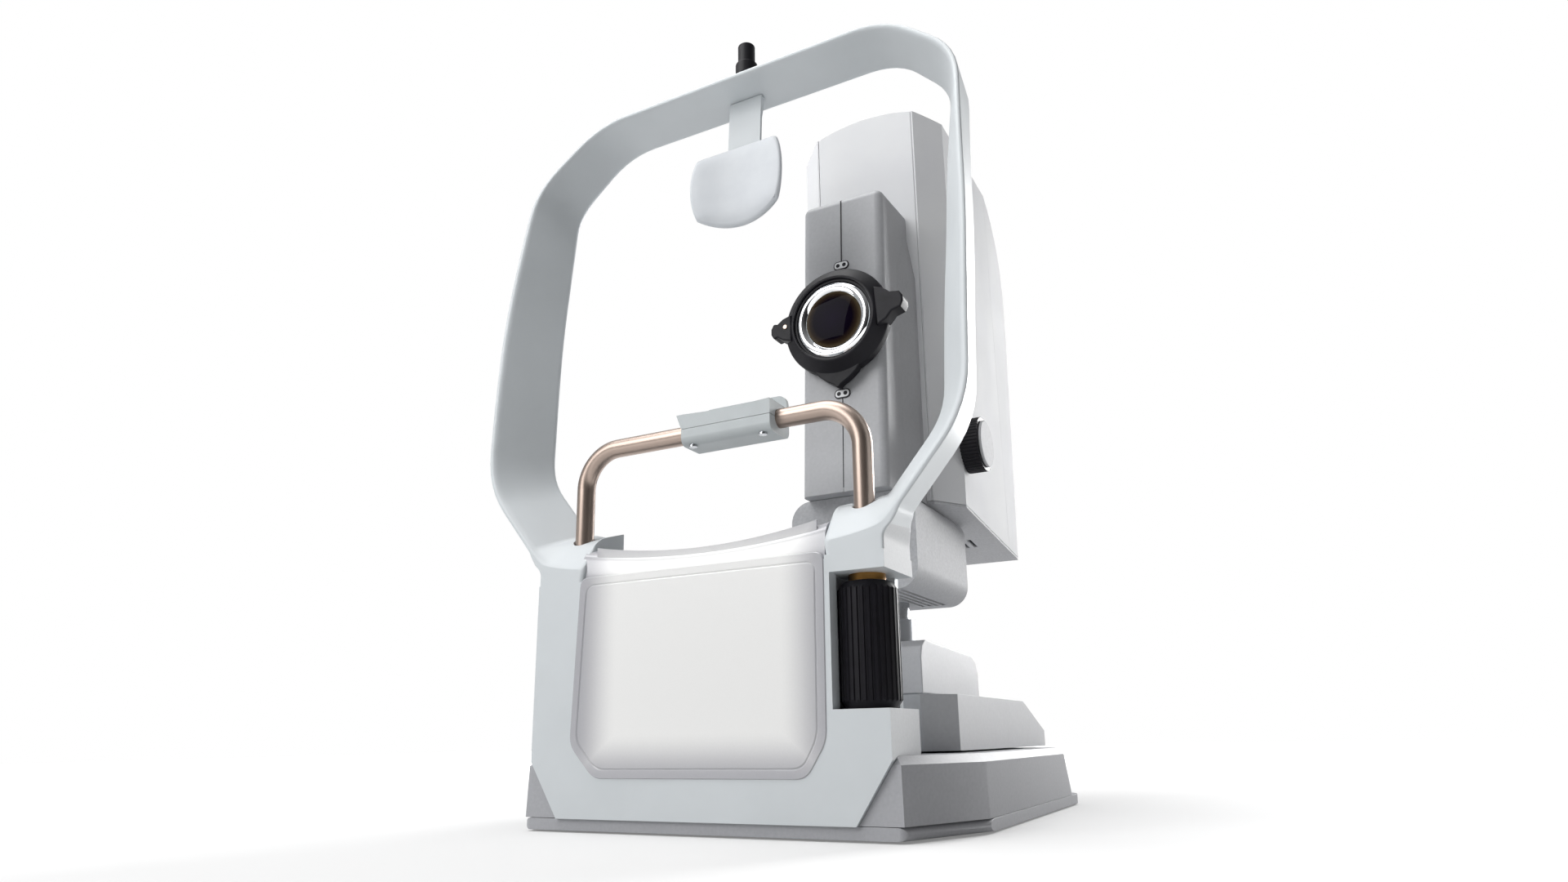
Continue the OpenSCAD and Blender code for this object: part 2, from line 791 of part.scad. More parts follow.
module chin_tray() {
    color("#D9DCDE") placed() translate([chin_x, 0, 0]) difference() {
        union() {
            along_y(leg_y - tray_d / 2, leg_y + tray_d / 2) polygon([
                [-tray_w / 2, tube_top + seam / 2], [-tray_w / 2 - wing_w, tube_top + tray_h],
                [tray_w / 2, tube_top + tray_h], [tray_w / 2, tube_top + seam / 2]
            ]);
            along_y(leg_y + tray_d / 2 - rest_t, leg_y + tray_d / 2)
                rounded_rect([-tray_w / 2 + 3, tube_top + 1], [tray_w / 2, tube_top + rest_h], 8);
        }
        rod_x(tube_r + run_fit, -tray_w, tray_w, leg_y, tube_top);
        rod_y(tray_hollow_r, leg_y - tray_d, leg_y + tray_d / 2 - rest_t, 0,
            tube_top + tray_h - 2 + tray_hollow_r);
        clamp_screw_holes();
    }
}

module chin_clamp() {
    color("#D0D4D6") placed() translate([chin_x, 0, 0]) difference() {
        intersection() {
            along_x(-tray_w / 2, tray_w / 2)
                rounded_rect([leg_y - tray_d / 2, tube_top - clamp_h],
                    [leg_y + tray_d / 2, tube_top + clamp_h], 7);
            box([-tray_w, 0, tube_top - 2 * clamp_h], [tray_w, 2 * leg_y, tube_top - seam / 2]);
        }
        rod_x(tube_r + run_fit, -tray_w, tray_w, leg_y, tube_top);
        clamp_screw_holes();
    }
}

module clamp_screws() {
    color(steel) placed() translate([chin_x, 0, 0])
        for (x = [-1, 1]) translate([x * clamp_screw_x, clamp_screw_y, tube_top - clamp_h]) {
            cylinder(r = clamp_screw_r, h = clamp_h + 8);
            translate([0, 0, -1.5]) cylinder(r = 3.5, h = 1.5);
        }
}

// Ribbed round outline
function ribbed(r, depth, count) = [for (i = [0 : count - 1], k = [0 : 3])
    let (
        a = 360 * (i + [0, 0.5, 0.62, 0.88][k]) / count,
        q = r - depth * [0, 0, 1, 1][k]
    )
    q * [cos(a), sin(a)]];

knob_bore_r = tube_r + 1;
nut_h = 22;

module height_knob() {
    color(dark_plastic) placed() translate([leg_x, leg_y, 0]) difference() {
        intersection() {
            translate([0, 0, knob_z0]) linear_extrude(knob_z1 - knob_z0)
                polygon(ribbed(knob_r, 1, knob_ribs));
            rotate_extrude() polygon([[0, knob_z0], [knob_r - 4, knob_z0], [knob_r + 0.2, knob_z0 + 6],
                [knob_r + 0.2, knob_z1 - 6], [knob_r - 4, knob_z1], [0, knob_z1]]);
        }
        translate([0, 0, knob_z0 - cut]) cylinder(r = knob_bore_r, h = knob_z1 - knob_z0 + 2 * cut);
    }
}

module knob_nut() {
    color(bronze) placed() translate([leg_x, leg_y, knob_z0]) difference() {
        cylinder(r = knob_bore_r - run_fit / 2, h = nut_h);
        translate([0, 0, -cut]) cylinder(r = screw_r + run_fit, h = nut_h + 2 * cut);
    }
}

// Cross slide

function deck_plan(g) = mirrored([
    [deck_half_w - deck_corner - g / 2, deck_y0 + g],
    [deck_half_w - g, deck_y0 + deck_corner * 0.8 + g / 2],
    [deck_half_w - g, deck_y1 - g]
]);

deck_back_h = 15;

function deck_side(g) = [
    [deck_y0 - cut, deck_z0 - (g > 0 ? cut : 0)],
    [deck_y0 - cut, deck_top - g],
    [deck_slope_y - g / 3, deck_top - g],
    [deck_y1 + cut, deck_z0 + deck_back_h - g], [deck_y1 + cut, deck_z0 - (g > 0 ? cut : 0)]
];

module deck_form(g) {
    intersection() {
        along_x(-deck_half_w, deck_half_w) polygon(deck_side(g));
        linear_extrude(stage_top) polygon(deck_plan(g));
    }
}

lock_y = 210;
lock_z = deck_top - 20;
lock_shaft_r = 4;

module deck_cover() {
    color(cover_grey) placed() difference() {
        deck_form(0);
        deck_form(deck_wall);
        rod_x(lock_shaft_r + run_fit, -deck_half_w - cut, -deck_half_w + deck_wall + cut, lock_y, lock_z);
    }
}

plate_y1 = deck_slope_y - 3;

module deck_plate() {
    color(steel) placed() difference() {
        box([-deck_half_w + deck_wall, deck_y0 + deck_corner + 4, y_block_top],
            [deck_half_w - deck_wall, plate_y1, y_block_top + plate_t]);
        box([-60, deck_y0 + 50, y_block_top - cut], [60, plate_y1 - 30, y_block_top + plate_t + cut]);
    }
}

module rail_block(size, groove) {
    difference() {
        box(size[0], size[1]);
        box(groove[0], groove[1]);
    }
}

y_block_l = 40;
y_block_half = 15;
rail_half = rail_w / 2 + rail_gap;
// Room that the carriage needs on the rails in front of and behind its blocks
y_travel_front = 37;
y_travel_back = 28;
y_block_y = [y_rail_y0 + y_travel_front, y_rail_y0 + y_rail_l - y_travel_back - y_block_l];

module y_blocks() {
    color(steel) placed()
        for (x = [-y_rail_x, y_rail_x], y = y_block_y)
            rail_block(
                [[x - y_block_half, y, base_top + 1], [x + y_block_half, y + y_block_l, y_block_top]],
                [[x - rail_half, y - cut, base_top],
                    [x + rail_half, y + y_block_l + cut, base_top + rail_h + rail_gap]]
            );
}

module x_rails() {
    color(steel) placed()
        for (y = [x_rail_y0, x_rail_y0 + x_rail_gap])
            box([x_rail_x0, y - rail_w / 2, deck_top], [x_rail_x1, y + rail_w / 2, deck_top + x_rail_h]);
}

x_block_half = 13;
x_block_l = 30;

module x_blocks() {
    color(steel) on_stage()
        for (y = [x_rail_y0, x_rail_y0 + x_rail_gap], x = [-44, 14])
            rail_block(
                [[x, y - x_block_half, deck_top + 1], [x + x_block_l, y + x_block_half, x_block_top]],
                [[x - cut, y - rail_half, deck_top],
                    [x + x_block_l + cut, y + rail_half, deck_top + x_rail_h + rail_gap]]
            );
}

module stage_plate() {
    color(steel) on_stage()
        box([-stage_half_w + stage_wall + seam, stage_y0 + stage_wall + seam, x_block_top],
            [stage_half_w - stage_wall - seam, stage_y1 - 40, stage_plate_top]);
}

function stage_side(g) = [
    [stage_y0 + g, stage_z0 - (g > 0 ? cut : 0)],
    [stage_y0 + g, stage_top - 16],
    [stage_y0 + 4 + g / 2, stage_top - 6],
    [stage_y0 + 14, stage_top - g],
    [stage_y1 - 22, stage_top - 5 - g],
    [stage_y1 - 7 - g / 2, stage_top - 11],
    [stage_y1 - g, stage_top - 24],
    [stage_y1 - g, stage_z0 - (g > 0 ? cut : 0)]
];

module stage_cover() {
    color(cover_grey) on_stage() difference() {
        along_x(-stage_half_w, stage_half_w) polygon(stage_side(0));
        along_x(-stage_half_w + stage_wall, stage_half_w - stage_wall) polygon(stage_side(stage_wall));
        translate([0, column_y, stage_z0]) cylinder(r = column_r + seam, h = stage_top);
    }
}

module column_tube() {
    color(steel) on_stage() translate([0, column_y, stage_plate_top]) difference() {
        cylinder(r = column_r, h = column_top - stage_plate_top);
        translate([0, 0, -cut]) cylinder(r = ram_r + run_fit, h = lower_z0);
    }
}

module column_ram() {
    color("#D8DADD") on_stage() translate([0, column_y, ram_z0]) cylinder(r = ram_r, h = lower_z0 - ram_z0);
}

module stage_lock() {
    color(dark_plastic) placed() {
        translate([-deck_half_w - seam - 16, lock_y, lock_z]) rotate([0, 90, 0])
            linear_extrude(16) polygon(ribbed(12, 0.8, 24));
        rod_x(lock_shaft_r, -deck_half_w - seam - 1, -deck_half_w + 16, lock_y, lock_z);
    }
}

// Joystick

pin_r = 2.2;
gimbal_r = 17;
gimbal_in_r = 13.5;
gimbal_h = 8;
pod_wall = 3;

module at_pivot() {
    on_stage() translate([pod_x, pod_y, pivot_z]) children();
}

module joystick_pod() {
    color(cover_grey) on_stage() difference() {
        box([pod_x - pod_w / 2, pod_y - pod_w / 2, stage_z0],
            [pod_x + pod_w / 2, pod_y + pod_w / 2, pod_top]);
        translate([pod_x, pod_y, stage_z0 + pod_wall])
            cylinder(r = dome_r + 2, h = pod_top - stage_z0 - 2 * pod_wall);
        translate([pod_x, pod_y, pivot_z]) sphere(r = dome_r + seam);
        rod_x(pin_r + run_fit, pod_x - dome_r - 5, pod_x + dome_r + 5, pod_y, pivot_z);
    }
}

module gimbal_ring() {
    color(steel) at_pivot() {
        difference() {
            translate([0, 0, -gimbal_h / 2]) cylinder(r = gimbal_r, h = gimbal_h);
            translate([0, 0, -gimbal_h]) cylinder(r = gimbal_in_r, h = 2 * gimbal_h);
            rod_y(pin_r + run_fit, -gimbal_r - cut, gimbal_r + cut);
        }
        for (side = [0, 1]) mirror([side, 0, 0]) rod_x(pin_r, gimbal_in_r + 1, dome_r + 4.5);
    }
}

neck_r = 7;
hub_r = 7;
dome_t = 2.5;
dome_edge = 66;
ring_z0 = 46;
ring_z1 = 60;
button_r = 5.5;
button_gap = 0.4;
button_bore = 12;

module joystick() {
    color(dark_plastic) at_pivot() {
        difference() {
            union() {
                translate([0, 0, -gimbal_h / 2]) cylinder(r = hub_r, h = ring_z1 + 10);
                translate([0, 0, ring_z1 + seam]) cylinder(r = stick_r, h = stick_h - ring_z1 - seam);
            }
            translate([0, 0, stick_h - button_bore])
                cylinder(r = button_r + button_gap, h = button_bore + cut);
        }
        rod_y(pin_r, -gimbal_r + 0.5, gimbal_r - 0.5);
        rotate_extrude() intersection() {
            difference() {
                circle(dome_r);
                circle(dome_r - dome_t);
            }
            polygon([
                [hub_r - 1, 0],
                2 * dome_r * [sin(dome_edge), cos(dome_edge)],
                [2 * dome_r, 2 * dome_r],
                [hub_r - 1, 2 * dome_r]
            ]);
        }
        translate([0, 0, ring_z0 - 4]) cylinder(r = stick_r, h = 4 - seam);
    }
}

module height_ring() {
    color("#2A2A2F") at_pivot() translate([0, 0, ring_z0]) difference() {
        linear_extrude(ring_z1 - ring_z0) polygon(ribbed(height_ring_r, 1, 36));
        translate([0, 0, -cut]) cylinder(r = neck_r + run_fit, h = ring_z1);
    }
}

button_travel = 2;

module capture_button() {
    color("#C9CBCD") at_pivot() translate([0, 0, stick_h - button_bore + button_travel + 1])
        cylinder(r = button_r, h = button_bore + 1);
}

// Camera head

function head_low(y) = head_z0 - head_drop * (y - plate_y) / (head_y1 - plate_y);
rear_foot_y = head_y1 - 25;
rear_bend_z = axis_z + 99;

module head_front_view(g) {
    intersection() {
        translate([-head_half_w + g, lower_z0]) square([2 * (head_half_w - g), head_top]);
        union() {
            translate([0, head_top - crown_r]) circle(crown_r - g, $fn = 128);
            translate([-head_half_w, lower_z0]) square([2 * head_half_w, head_top - crown_r - lower_z0]);
        }
    }
}

module head_side_view(g) {
    arc_y = head_y1 - head_back_r;
    arc_z = head_top - head_back_r;
    polygon([
        [plate_y + g, head_low(plate_y) + g], [rear_foot_y - g, head_low(rear_foot_y) + g],
        [head_y1 - g, rear_bend_z], [head_y1 - g, arc_z], [arc_y, head_top], [plate_y + g, head_top]
    ]);
    translate([arc_y, arc_z]) circle(head_back_r - g);
}

function head_plan(g) = mirrored([
    [plate_half_w - g / 2, plate_y + g],
    [head_half_w - g, plate_y + head_bevel_d + g / 2],
    [head_half_w - g, head_y1 + cut]
]);

module head_form(g) {
    intersection() {
        along_y(plate_y - cut, head_y1 + cut) head_front_view(g);
        along_x(-head_half_w, head_half_w) head_side_view(g);
        linear_extrude(head_top + cut) polygon(head_plan(g));
    }
}

module head_shell() {
    difference() {
        head_form(0);
        head_form(head_wall);
    }
}

// Everything below the seam of the bottom pan, raised by g
module below_pan(g) {
    along_x(-head_half_w - cut, head_half_w + cut) polygon([
        [plate_y - cut, lower_z0 - 40], [head_y1 + cut, lower_z0 - 40],
        [head_y1 + cut, head_low(head_y1) + head_wall + g], [plate_y - cut, head_low(plate_y) + head_wall + g]
    ]);
}

rear_seam_y = head_y1 - 62;
front_seam_y = plate_y + head_wall;
front_half = plate_half_w - 2;

module front_plate_box(g) {
    box([-front_half - g, plate_y - cut, lower_z0], [front_half + g, front_seam_y + g, head_top + cut]);
}

module focus_bore(x0, x1) {
    rod_x(focus_shaft_r + run_fit, x0, x1, focus_y, focus_z);
}

module head_side(side) {
    color(head_white) on_stage() difference() {
        intersection() {
            head_shell();
            box([side < 0 ? -head_half_w - cut : seam / 2, plate_y - cut, lower_z0],
                [side < 0 ? -seam / 2 : head_half_w + cut, rear_seam_y, head_top + cut]);
        }
        front_plate_box(seam);
        below_pan(seam);
        focus_bore(side < 0 ? -head_half_w - cut : head_half_w / 2,
            side < 0 ? -head_half_w / 2 : head_half_w + cut);
    }
}

module head_side_left() {
    head_side(-1);
}

module head_side_right() {
    head_side(1);
}

module head_front_plate() {
    color(head_white) on_stage() difference() {
        intersection() {
            head_shell();
            front_plate_box(0);
        }
        below_pan(seam);
        rod_y(barrel_r + 2, plate_y - cut, front_seam_y + cut, 0, axis_z);
    }
}

module head_rear_cover() {
    color(head_white) on_stage() difference() {
        intersection() {
            head_shell();
            box([-head_half_w - cut, rear_seam_y + seam, lower_z0],
                [head_half_w + cut, head_y1 + cut, head_top + cut]);
        }
        below_pan(seam);
    }
}

vent_w = 4;
vent_pitch = 12;
slot_l = 54;
slot_pitch = 7;

module head_bottom_pan() {
    color(head_white) on_stage() difference() {
        intersection() {
            along_x(-head_half_w, head_half_w) polygon([
                [plate_y - cut, head_low(plate_y - cut)], [rear_foot_y, head_low(rear_foot_y)],
                [rear_foot_y, head_low(rear_foot_y) + head_wall],
                [plate_y - cut, head_low(plate_y - cut) + head_wall]
            ]);
            linear_extrude(head_top) polygon(head_plan(0));
        }
        for (i = [0 : vent_count - 1])
            box([(i - (vent_count - 1) / 2) * vent_pitch - vent_w / 2, lower_y1 + 20, lower_z0],
                [(i - (vent_count - 1) / 2) * vent_pitch + vent_w / 2, lower_y1 + 95, head_z0 + 10]);
    }
}

module lower_body() {
    top = head_z0 - seam;
    color(head_white) on_stage() difference() {
        along_y(lower_y0, lower_y1) rounded_rect([-lower_half_w, lower_z0], [lower_half_w, top], lower_r);
        along_y(lower_y0 + stage_wall, lower_y1 - stage_wall)
            rounded_rect([-lower_half_w + stage_wall, lower_z0 + stage_wall],
                [lower_half_w - stage_wall, top - 16], lower_r - stage_wall);
        below_pan_top();
        for (i = [0 : vent_count - 1], side = [-1, 1])
            translate([side * (i + 1) * slot_pitch - vent_w / 2, lower_y0 + 10, lower_z0 - cut])
                cube([vent_w, slot_l, stage_wall + 2 * cut]);
    }
}

// The room that the sloped bottom pan takes out of the body below it
module below_pan_top() {
    along_x(-head_half_w, head_half_w) polygon([
        [plate_y - seam, head_z0 + cut], [plate_y - seam, head_z0 - seam],
        [head_y1, head_low(head_y1) - seam], [head_y1, head_z0 + cut]
    ]);
}

cover_slope = cover_lean / (cover_top - head_z0);
cover_tilt = atan(cover_slope);
cover_back = plate_y - seam;
function cover_y(z) = cover_y0 + (z - head_z0) * cover_slope;

flare_d = 36;
flare_w = 7;
flare_down = 34;

module cover_form(g) {
    along_x(-cover_half_w + g, cover_half_w - g) polygon([
        [cover_y0 + g, head_z0 + g], [cover_y0 + cover_lean + g, cover_top - g],
        [cover_back + (g > 0 ? cut : 0), cover_top + 5 - g], [cover_back + (g > 0 ? cut : 0), head_z0 + g]
    ]);
    rod_y(boss_r - g, cover_y(axis_z) + g, cover_back + (g > 0 ? cut : 0), 0, axis_z);
    translate([0, 0, head_z0 + g]) linear_extrude(cover_top - flare_down - head_z0 - 2 * g) polygon(mirrored([
        [cover_half_w - g, cover_back - flare_d + g], [cover_half_w + flare_w - g, cover_back - flare_d / 3],
        [cover_half_w + flare_w - g, cover_back + (g > 0 ? cut : 0)]
    ]));
}

module front_cover(side) {
    color(cover_grey) on_stage() intersection() {
        difference() {
            cover_form(0);
            cover_form(stage_wall);
            rod_y(barrel_r + seam, barrel_y0, plate_y, 0, axis_z);
        }
        box([side < 0 ? -ring_tip_r : seam / 2, barrel_y0, lower_z0],
            [side < 0 ? -seam / 2 : ring_tip_r, plate_y, head_top]);
    }
}

module front_cover_left() {
    front_cover(-1);
}

module front_cover_right() {
    front_cover(1);
}

mark_w = 15;
mark_h = 8;
mark_t = 0.8;
mark_high = axis_z + 67;
mark_low = axis_z - 70;

module mark_plates() {
    color("#F1F1F1") on_stage()
        for (z = [mark_low, mark_high])
            translate([0, cover_y(z) - 0.05, z]) rotate([-cover_tilt, 0, 0]) difference() {
                along_y(-mark_t, 0) rounded_rect([-mark_w / 2, -mark_h / 2], [mark_w / 2, mark_h / 2], 2);
                for (x = [-1, 1]) rod_y(1, -2 * mark_t, 2 * mark_t, x * mark_w / 4, 0);
            }
}

bench_z = axis_z - 55;
bench_t = 6;
bench_y0 = plate_y + 10;
bench_y1 = rear_seam_y - 10;
barrel_y1 = plate_y + 70;
post_r = 6;

function post_foot(y) = head_low(y) + head_wall + 1;

module optical_bench() {
    color("#9EA2A8") on_stage() {
        box([-32, bench_y0, bench_z], [32, bench_y1, bench_z + bench_t]);
        for (x = [-22, 22], y = [plate_y + 60, rear_seam_y - 30])
            translate([x, y, post_foot(y)]) cylinder(r = post_r, h = bench_z - post_foot(y));
        difference() {
            for (y = [bench_y0 + 4, barrel_y1 - 20])
                box([-20, y, bench_z + bench_t], [20, y + 12, axis_z - barrel_r + 6]);
            rod_y(barrel_r + run_fit, bench_y0 - cut, bench_y1, 0, axis_z);
        }
        box([-18, barrel_y1 + 12, bench_z + bench_t], [18, barrel_y1 + 52, axis_z - 26]);
    }
}

reflector_d = 26;
reflector_r = barrel_r - 2;
lens_out = 3;
lens_t = 14;
lens_dome_r = 110;

module lens_barrel() {
    color(dark_plastic) on_stage() translate([0, 0, axis_z]) difference() {
        rod_y(barrel_r, barrel_y0, barrel_y1);
        rod_y(reflector_r + run_fit, barrel_y0 - cut, barrel_y0 + reflector_d + 2);
        rod_y(lens_r, barrel_y0 - cut, barrel_y1 + cut);
    }
}

module reflector() {
    color("#D9DCE0") on_stage() translate([0, barrel_y0 + 2, axis_z]) rotate([-90, 0, 0])
        rotate_extrude() polygon([
            [reflector_r, 2], [reflector_r, reflector_d], [lens_r + run_fit, reflector_d],
            [lens_r + run_fit, -lens_out], [lens_r + 1, -lens_out], [reflector_r - 3, 0]
        ]);
}

module front_lens() {
    lens_y = barrel_y0 + 2 - lens_out - 2;
    color("#140A20") on_stage() translate([0, 0, axis_z]) intersection() {
        rod_y(lens_r, lens_y - cut, lens_y + lens_t);
        translate([0, lens_y + lens_dome_r, 0]) sphere(lens_dome_r, $fn = 128);
    }
}

module sensor_module() {
    color("#33363B") on_stage() {
        box([-25, barrel_y1 + 8, axis_z - 26], [25, barrel_y1 + 56, axis_z + 26]);
        rod_y(lens_r - 4, barrel_y1 + 0.5, barrel_y1 + 8 + cut, 0, axis_z);
    }
}

display_half = 56;
display_z = axis_z - 22;
display_h = 150;
display_t = 5;
display_rim = 6;
rear_slope = (head_y1 - rear_foot_y) / (rear_bend_z - head_low(rear_foot_y));
rear_tilt = atan(rear_slope);

// Front view on the leaning back of the head, about the display's middle
module on_back(y0, y1) {
    on_stage() translate([0, head_y1 - (rear_bend_z - display_z) * rear_slope, display_z])
        rotate([-rear_tilt, 0, 0]) along_y(y0, y1) children();
}

module display_frame() {
    color(dark_plastic) difference() {
        on_back(0, display_t) rounded_rect([-display_half, -display_h / 2], [display_half, display_h / 2], 5);
        on_back(2, 2 * display_t) display_window(0);
    }
}

module display_window(g) {
    rounded_rect([-display_half + display_rim + g, -display_h / 2 + display_rim + g],
        [display_half - display_rim - g, display_h / 2 - display_rim - g], 2);
}

module display_glass() {
    color("#15181D") on_back(2, display_t - 1) display_window(seam);
}

ring_cone_d = 9;
ring_rim = 3;
grip_foot = ring_r - 12;
grip_w = 14;
prow_w = 24;

// Front view of the ring's two side grips and its pointed prow
module ring_grips() {
    for (a = [0, 180]) rotate(a)
        polygon([
            [grip_foot, -grip_w], [ring_tip_r, -grip_w / 2], [ring_tip_r, grip_w / 2], [grip_foot, grip_w]
        ]);
    rotate(270)
        polygon([[grip_foot, -prow_w], [ring_tip_r, -2], [ring_tip_r, 2], [grip_foot, prow_w]]);
}

module objective_ring() {
    color(dark_plastic) on_stage() translate([0, 0, axis_z]) difference() {
        union() {
            rod_y(ring_r, ring_y0 + ring_cone_d, ring_y0 + ring_d);
            translate([0, ring_y0, 0]) rotate([-90, 0, 0])
                cylinder(r1 = barrel_r + ring_rim, r2 = ring_r, h = ring_cone_d + cut);
            along_y(ring_y0 + 3, ring_y0 + ring_d - 2)
                ring_grips();
        }
        rod_y(barrel_r + run_fit, ring_y0 - cut, ring_y0 + ring_d + cut);
    }
}

knob_face = head_half_w + 2;
cap_t = 3;

module focus_shaft() {
    color(steel) on_stage()
        rod_x(focus_shaft_r, -head_half_w, knob_face + focus_knob_t, focus_y, focus_z);
}

module focus_knob() {
    color(dark_plastic) on_stage()
        translate([knob_face, focus_y, focus_z]) rotate([0, 90, 0])
            difference() {
                linear_extrude(focus_knob_t) polygon(ribbed(focus_knob_r, 0.8, focus_ribs));
                translate([0, 0, -cut]) cylinder(r = focus_shaft_r + run_fit / 2, h = focus_knob_t + 2 * cut);
            }
}

module focus_cap() {
    color("#D7D8DA") on_stage()
        rod_x(focus_knob_r - 4, knob_face + focus_knob_t,
            knob_face + focus_knob_t + cap_t, focus_y, focus_z);
}

base_pan();
base_feet();
base_cover();
mains_inlet();
power_switch();
y_rails();
headrest_body();
headrest_loop();
headrest_rear_cover();
front_panel();
panel_backing();
panel_clips();
leg_bush_left();
leg_bush_right();
leg_guide();
forehead_strap();
forehead_pad();
lamp_socket();
chin_tube();
lead_screw();
chin_tray();
chin_clamp();
clamp_screws();
height_knob();
knob_nut();
deck_plate();
deck_cover();
y_blocks();
x_rails();
x_blocks();
stage_plate();
stage_cover();
column_tube();
joystick_pod();
stage_lock();
gimbal_ring();
joystick();
height_ring();
capture_button();
column_ram();
lower_body();
front_cover_left();
front_cover_right();
head_front_plate();
head_side_left();
head_side_right();
head_rear_cover();
head_bottom_pan();
optical_bench();
lens_barrel();
front_lens();
reflector();
sensor_module();
display_frame();
display_glass();
mark_plates();
objective_ring();
focus_shaft();
focus_knob();
focus_cap();
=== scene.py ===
# %% [markdown]
# # A tabletop retinal camera, dressed over its CAD solids
#
# A retinal camera photographs the back of the eye. The patient puts the chin on the steel tube's tray and
# the forehead against the pad in the big loop, and the operator moves the camera head behind it with a
# joystick. The solids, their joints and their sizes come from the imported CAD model. Here we give them
# rounded edges, the loop's flowing shoulders, fine details and finishes, a camera and a studio.

# %% Load the solids
import json
from math import cos, pi, radians, sin

import bmesh
import bpy
from mathutils import Matrix, Vector

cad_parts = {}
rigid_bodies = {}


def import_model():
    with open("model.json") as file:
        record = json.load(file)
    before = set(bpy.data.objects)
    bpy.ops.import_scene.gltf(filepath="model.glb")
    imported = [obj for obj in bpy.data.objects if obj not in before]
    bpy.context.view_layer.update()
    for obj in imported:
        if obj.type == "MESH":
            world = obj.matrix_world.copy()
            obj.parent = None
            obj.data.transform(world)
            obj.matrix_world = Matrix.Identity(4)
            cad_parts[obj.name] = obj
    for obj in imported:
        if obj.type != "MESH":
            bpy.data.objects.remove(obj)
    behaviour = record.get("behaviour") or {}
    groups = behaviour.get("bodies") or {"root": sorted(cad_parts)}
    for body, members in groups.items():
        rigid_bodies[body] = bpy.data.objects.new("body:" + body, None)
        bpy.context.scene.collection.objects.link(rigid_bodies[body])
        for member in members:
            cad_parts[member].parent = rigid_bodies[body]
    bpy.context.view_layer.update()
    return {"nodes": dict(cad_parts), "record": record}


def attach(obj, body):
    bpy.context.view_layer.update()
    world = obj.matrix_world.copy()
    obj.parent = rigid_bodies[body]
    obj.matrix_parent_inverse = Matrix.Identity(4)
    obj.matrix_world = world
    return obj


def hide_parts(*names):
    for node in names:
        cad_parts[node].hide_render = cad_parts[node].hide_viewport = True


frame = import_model()
body_of_node = {n: b for b, nodes in frame["record"]["behaviour"]["bodies"].items() for n in nodes}

# Millimetres: the headrest's front face lies FRONT_Y before the origin, and the lens axis is STAGE_X to the
# right of the middle and LENS_Z above the table.
FRONT_Y, STAGE_X, LENS_Z = 224, 62, 455

# %% [markdown]
# ## Where the photograph was taken from
#
# The photographer stood low and to the patient's right, with a fairly wide lens close to the object, so
# lines run together strongly. A Track To constraint could aim a camera, but it knows no roll. The place and
# the angles were found from the headrest's mirror symmetry: pairs of points left and right of its middle
# plane fix the view. So we write them down and build the whole matrix.

# %% Camera
yaw, pitch, roll = radians(27.2513), radians(14.2609), radians(-0.94997)
stand = Vector((0.39837, -0.84330, 0.06882))
ahead = Vector((-sin(yaw) * cos(pitch), cos(yaw) * cos(pitch), sin(pitch)))
level = Vector((cos(yaw), sin(yaw), 0))
upward = level.cross(ahead)
right_axis = level * cos(roll) + upward * sin(roll)
up_axis = upward * cos(roll) - level * sin(roll)
lens = bpy.data.cameras.new("studio_camera")
lens.sensor_width, lens.lens = 36, 21.751
lens.shift_y = 0.03658
lens.clip_start = 0.01
viewpoint = bpy.data.objects.new("studio_camera", lens)
viewpoint.matrix_world = Matrix((
    (right_axis.x, up_axis.x, -ahead.x, stand.x),
    (right_axis.y, up_axis.y, -ahead.y, stand.y),
    (right_axis.z, up_axis.z, -ahead.z, stand.z),
    (0, 0, 0, 1),
))
bpy.context.collection.objects.link(viewpoint)
bpy.context.scene.camera = viewpoint
print("camera at", [round(c, 3) for c in viewpoint.location])

# %% [markdown]
# ## Colours and nodes
#
# Colours are written as the sRGB hex values that a picture editor shows, and one function makes them linear,
# as shaders want them. Every finish is a small node tree. It could be put together in the editor, but in a
# script one function that adds a node, sets its values and links it keeps the tree easy to read.

# %% Colours and nodes
def hue(code):
    parts = [int(code[i:i + 2], 16) / 255 for i in (1, 3, 5)]
    return [c / 12.92 if c <= 0.04045 else ((c + 0.055) / 1.055) ** 2.4 for c in parts] + [1]


def add(tree, kind, links=(), **settings):
    node = tree.nodes.new(kind)
    for name, value in settings.items():
        if hasattr(node, name):
            setattr(node, name, value)
        else:
            node.inputs[name.replace("_", " ")].default_value = value
    for source, target in links:
        tree.links.new(source, node.inputs[target])
    return node


def finish(name, colour, **shader):
    """A material with one colour, whose other shader values are given by name."""
    material = bpy.data.materials.new(name)
    material.use_nodes = True
    material.diffuse_color = hue(colour)
    surface = material.node_tree.nodes["Principled BSDF"]
    surface.inputs["Base Color"].default_value = hue(colour)
    for key, value in shader.items():
        surface.inputs[key.replace("_", " ")].default_value = value
    add(material.node_tree, "ShaderNodeTexCoord")
    return material


def inside(material):
    """A finish's node tree, its surface node and the object coordinates that its patterns read."""
    tree = material.node_tree
    return tree, tree.nodes["Principled BSDF"], tree.nodes["Texture Coordinate"].outputs["Object"]


print("a middle grey is", round(hue("#808080")[0], 3), "in linear light")

# %% [markdown]
# ## Patterns
#
# A moulded, painted or handled surface is never quite even. Three patterns give that: clouds of two close
# tones, a fine bump, and a roughness that drifts. Images could do it too, but they need unwrapped meshes, so
# we use noise in object coordinates, with its scale worked out from millimetres.

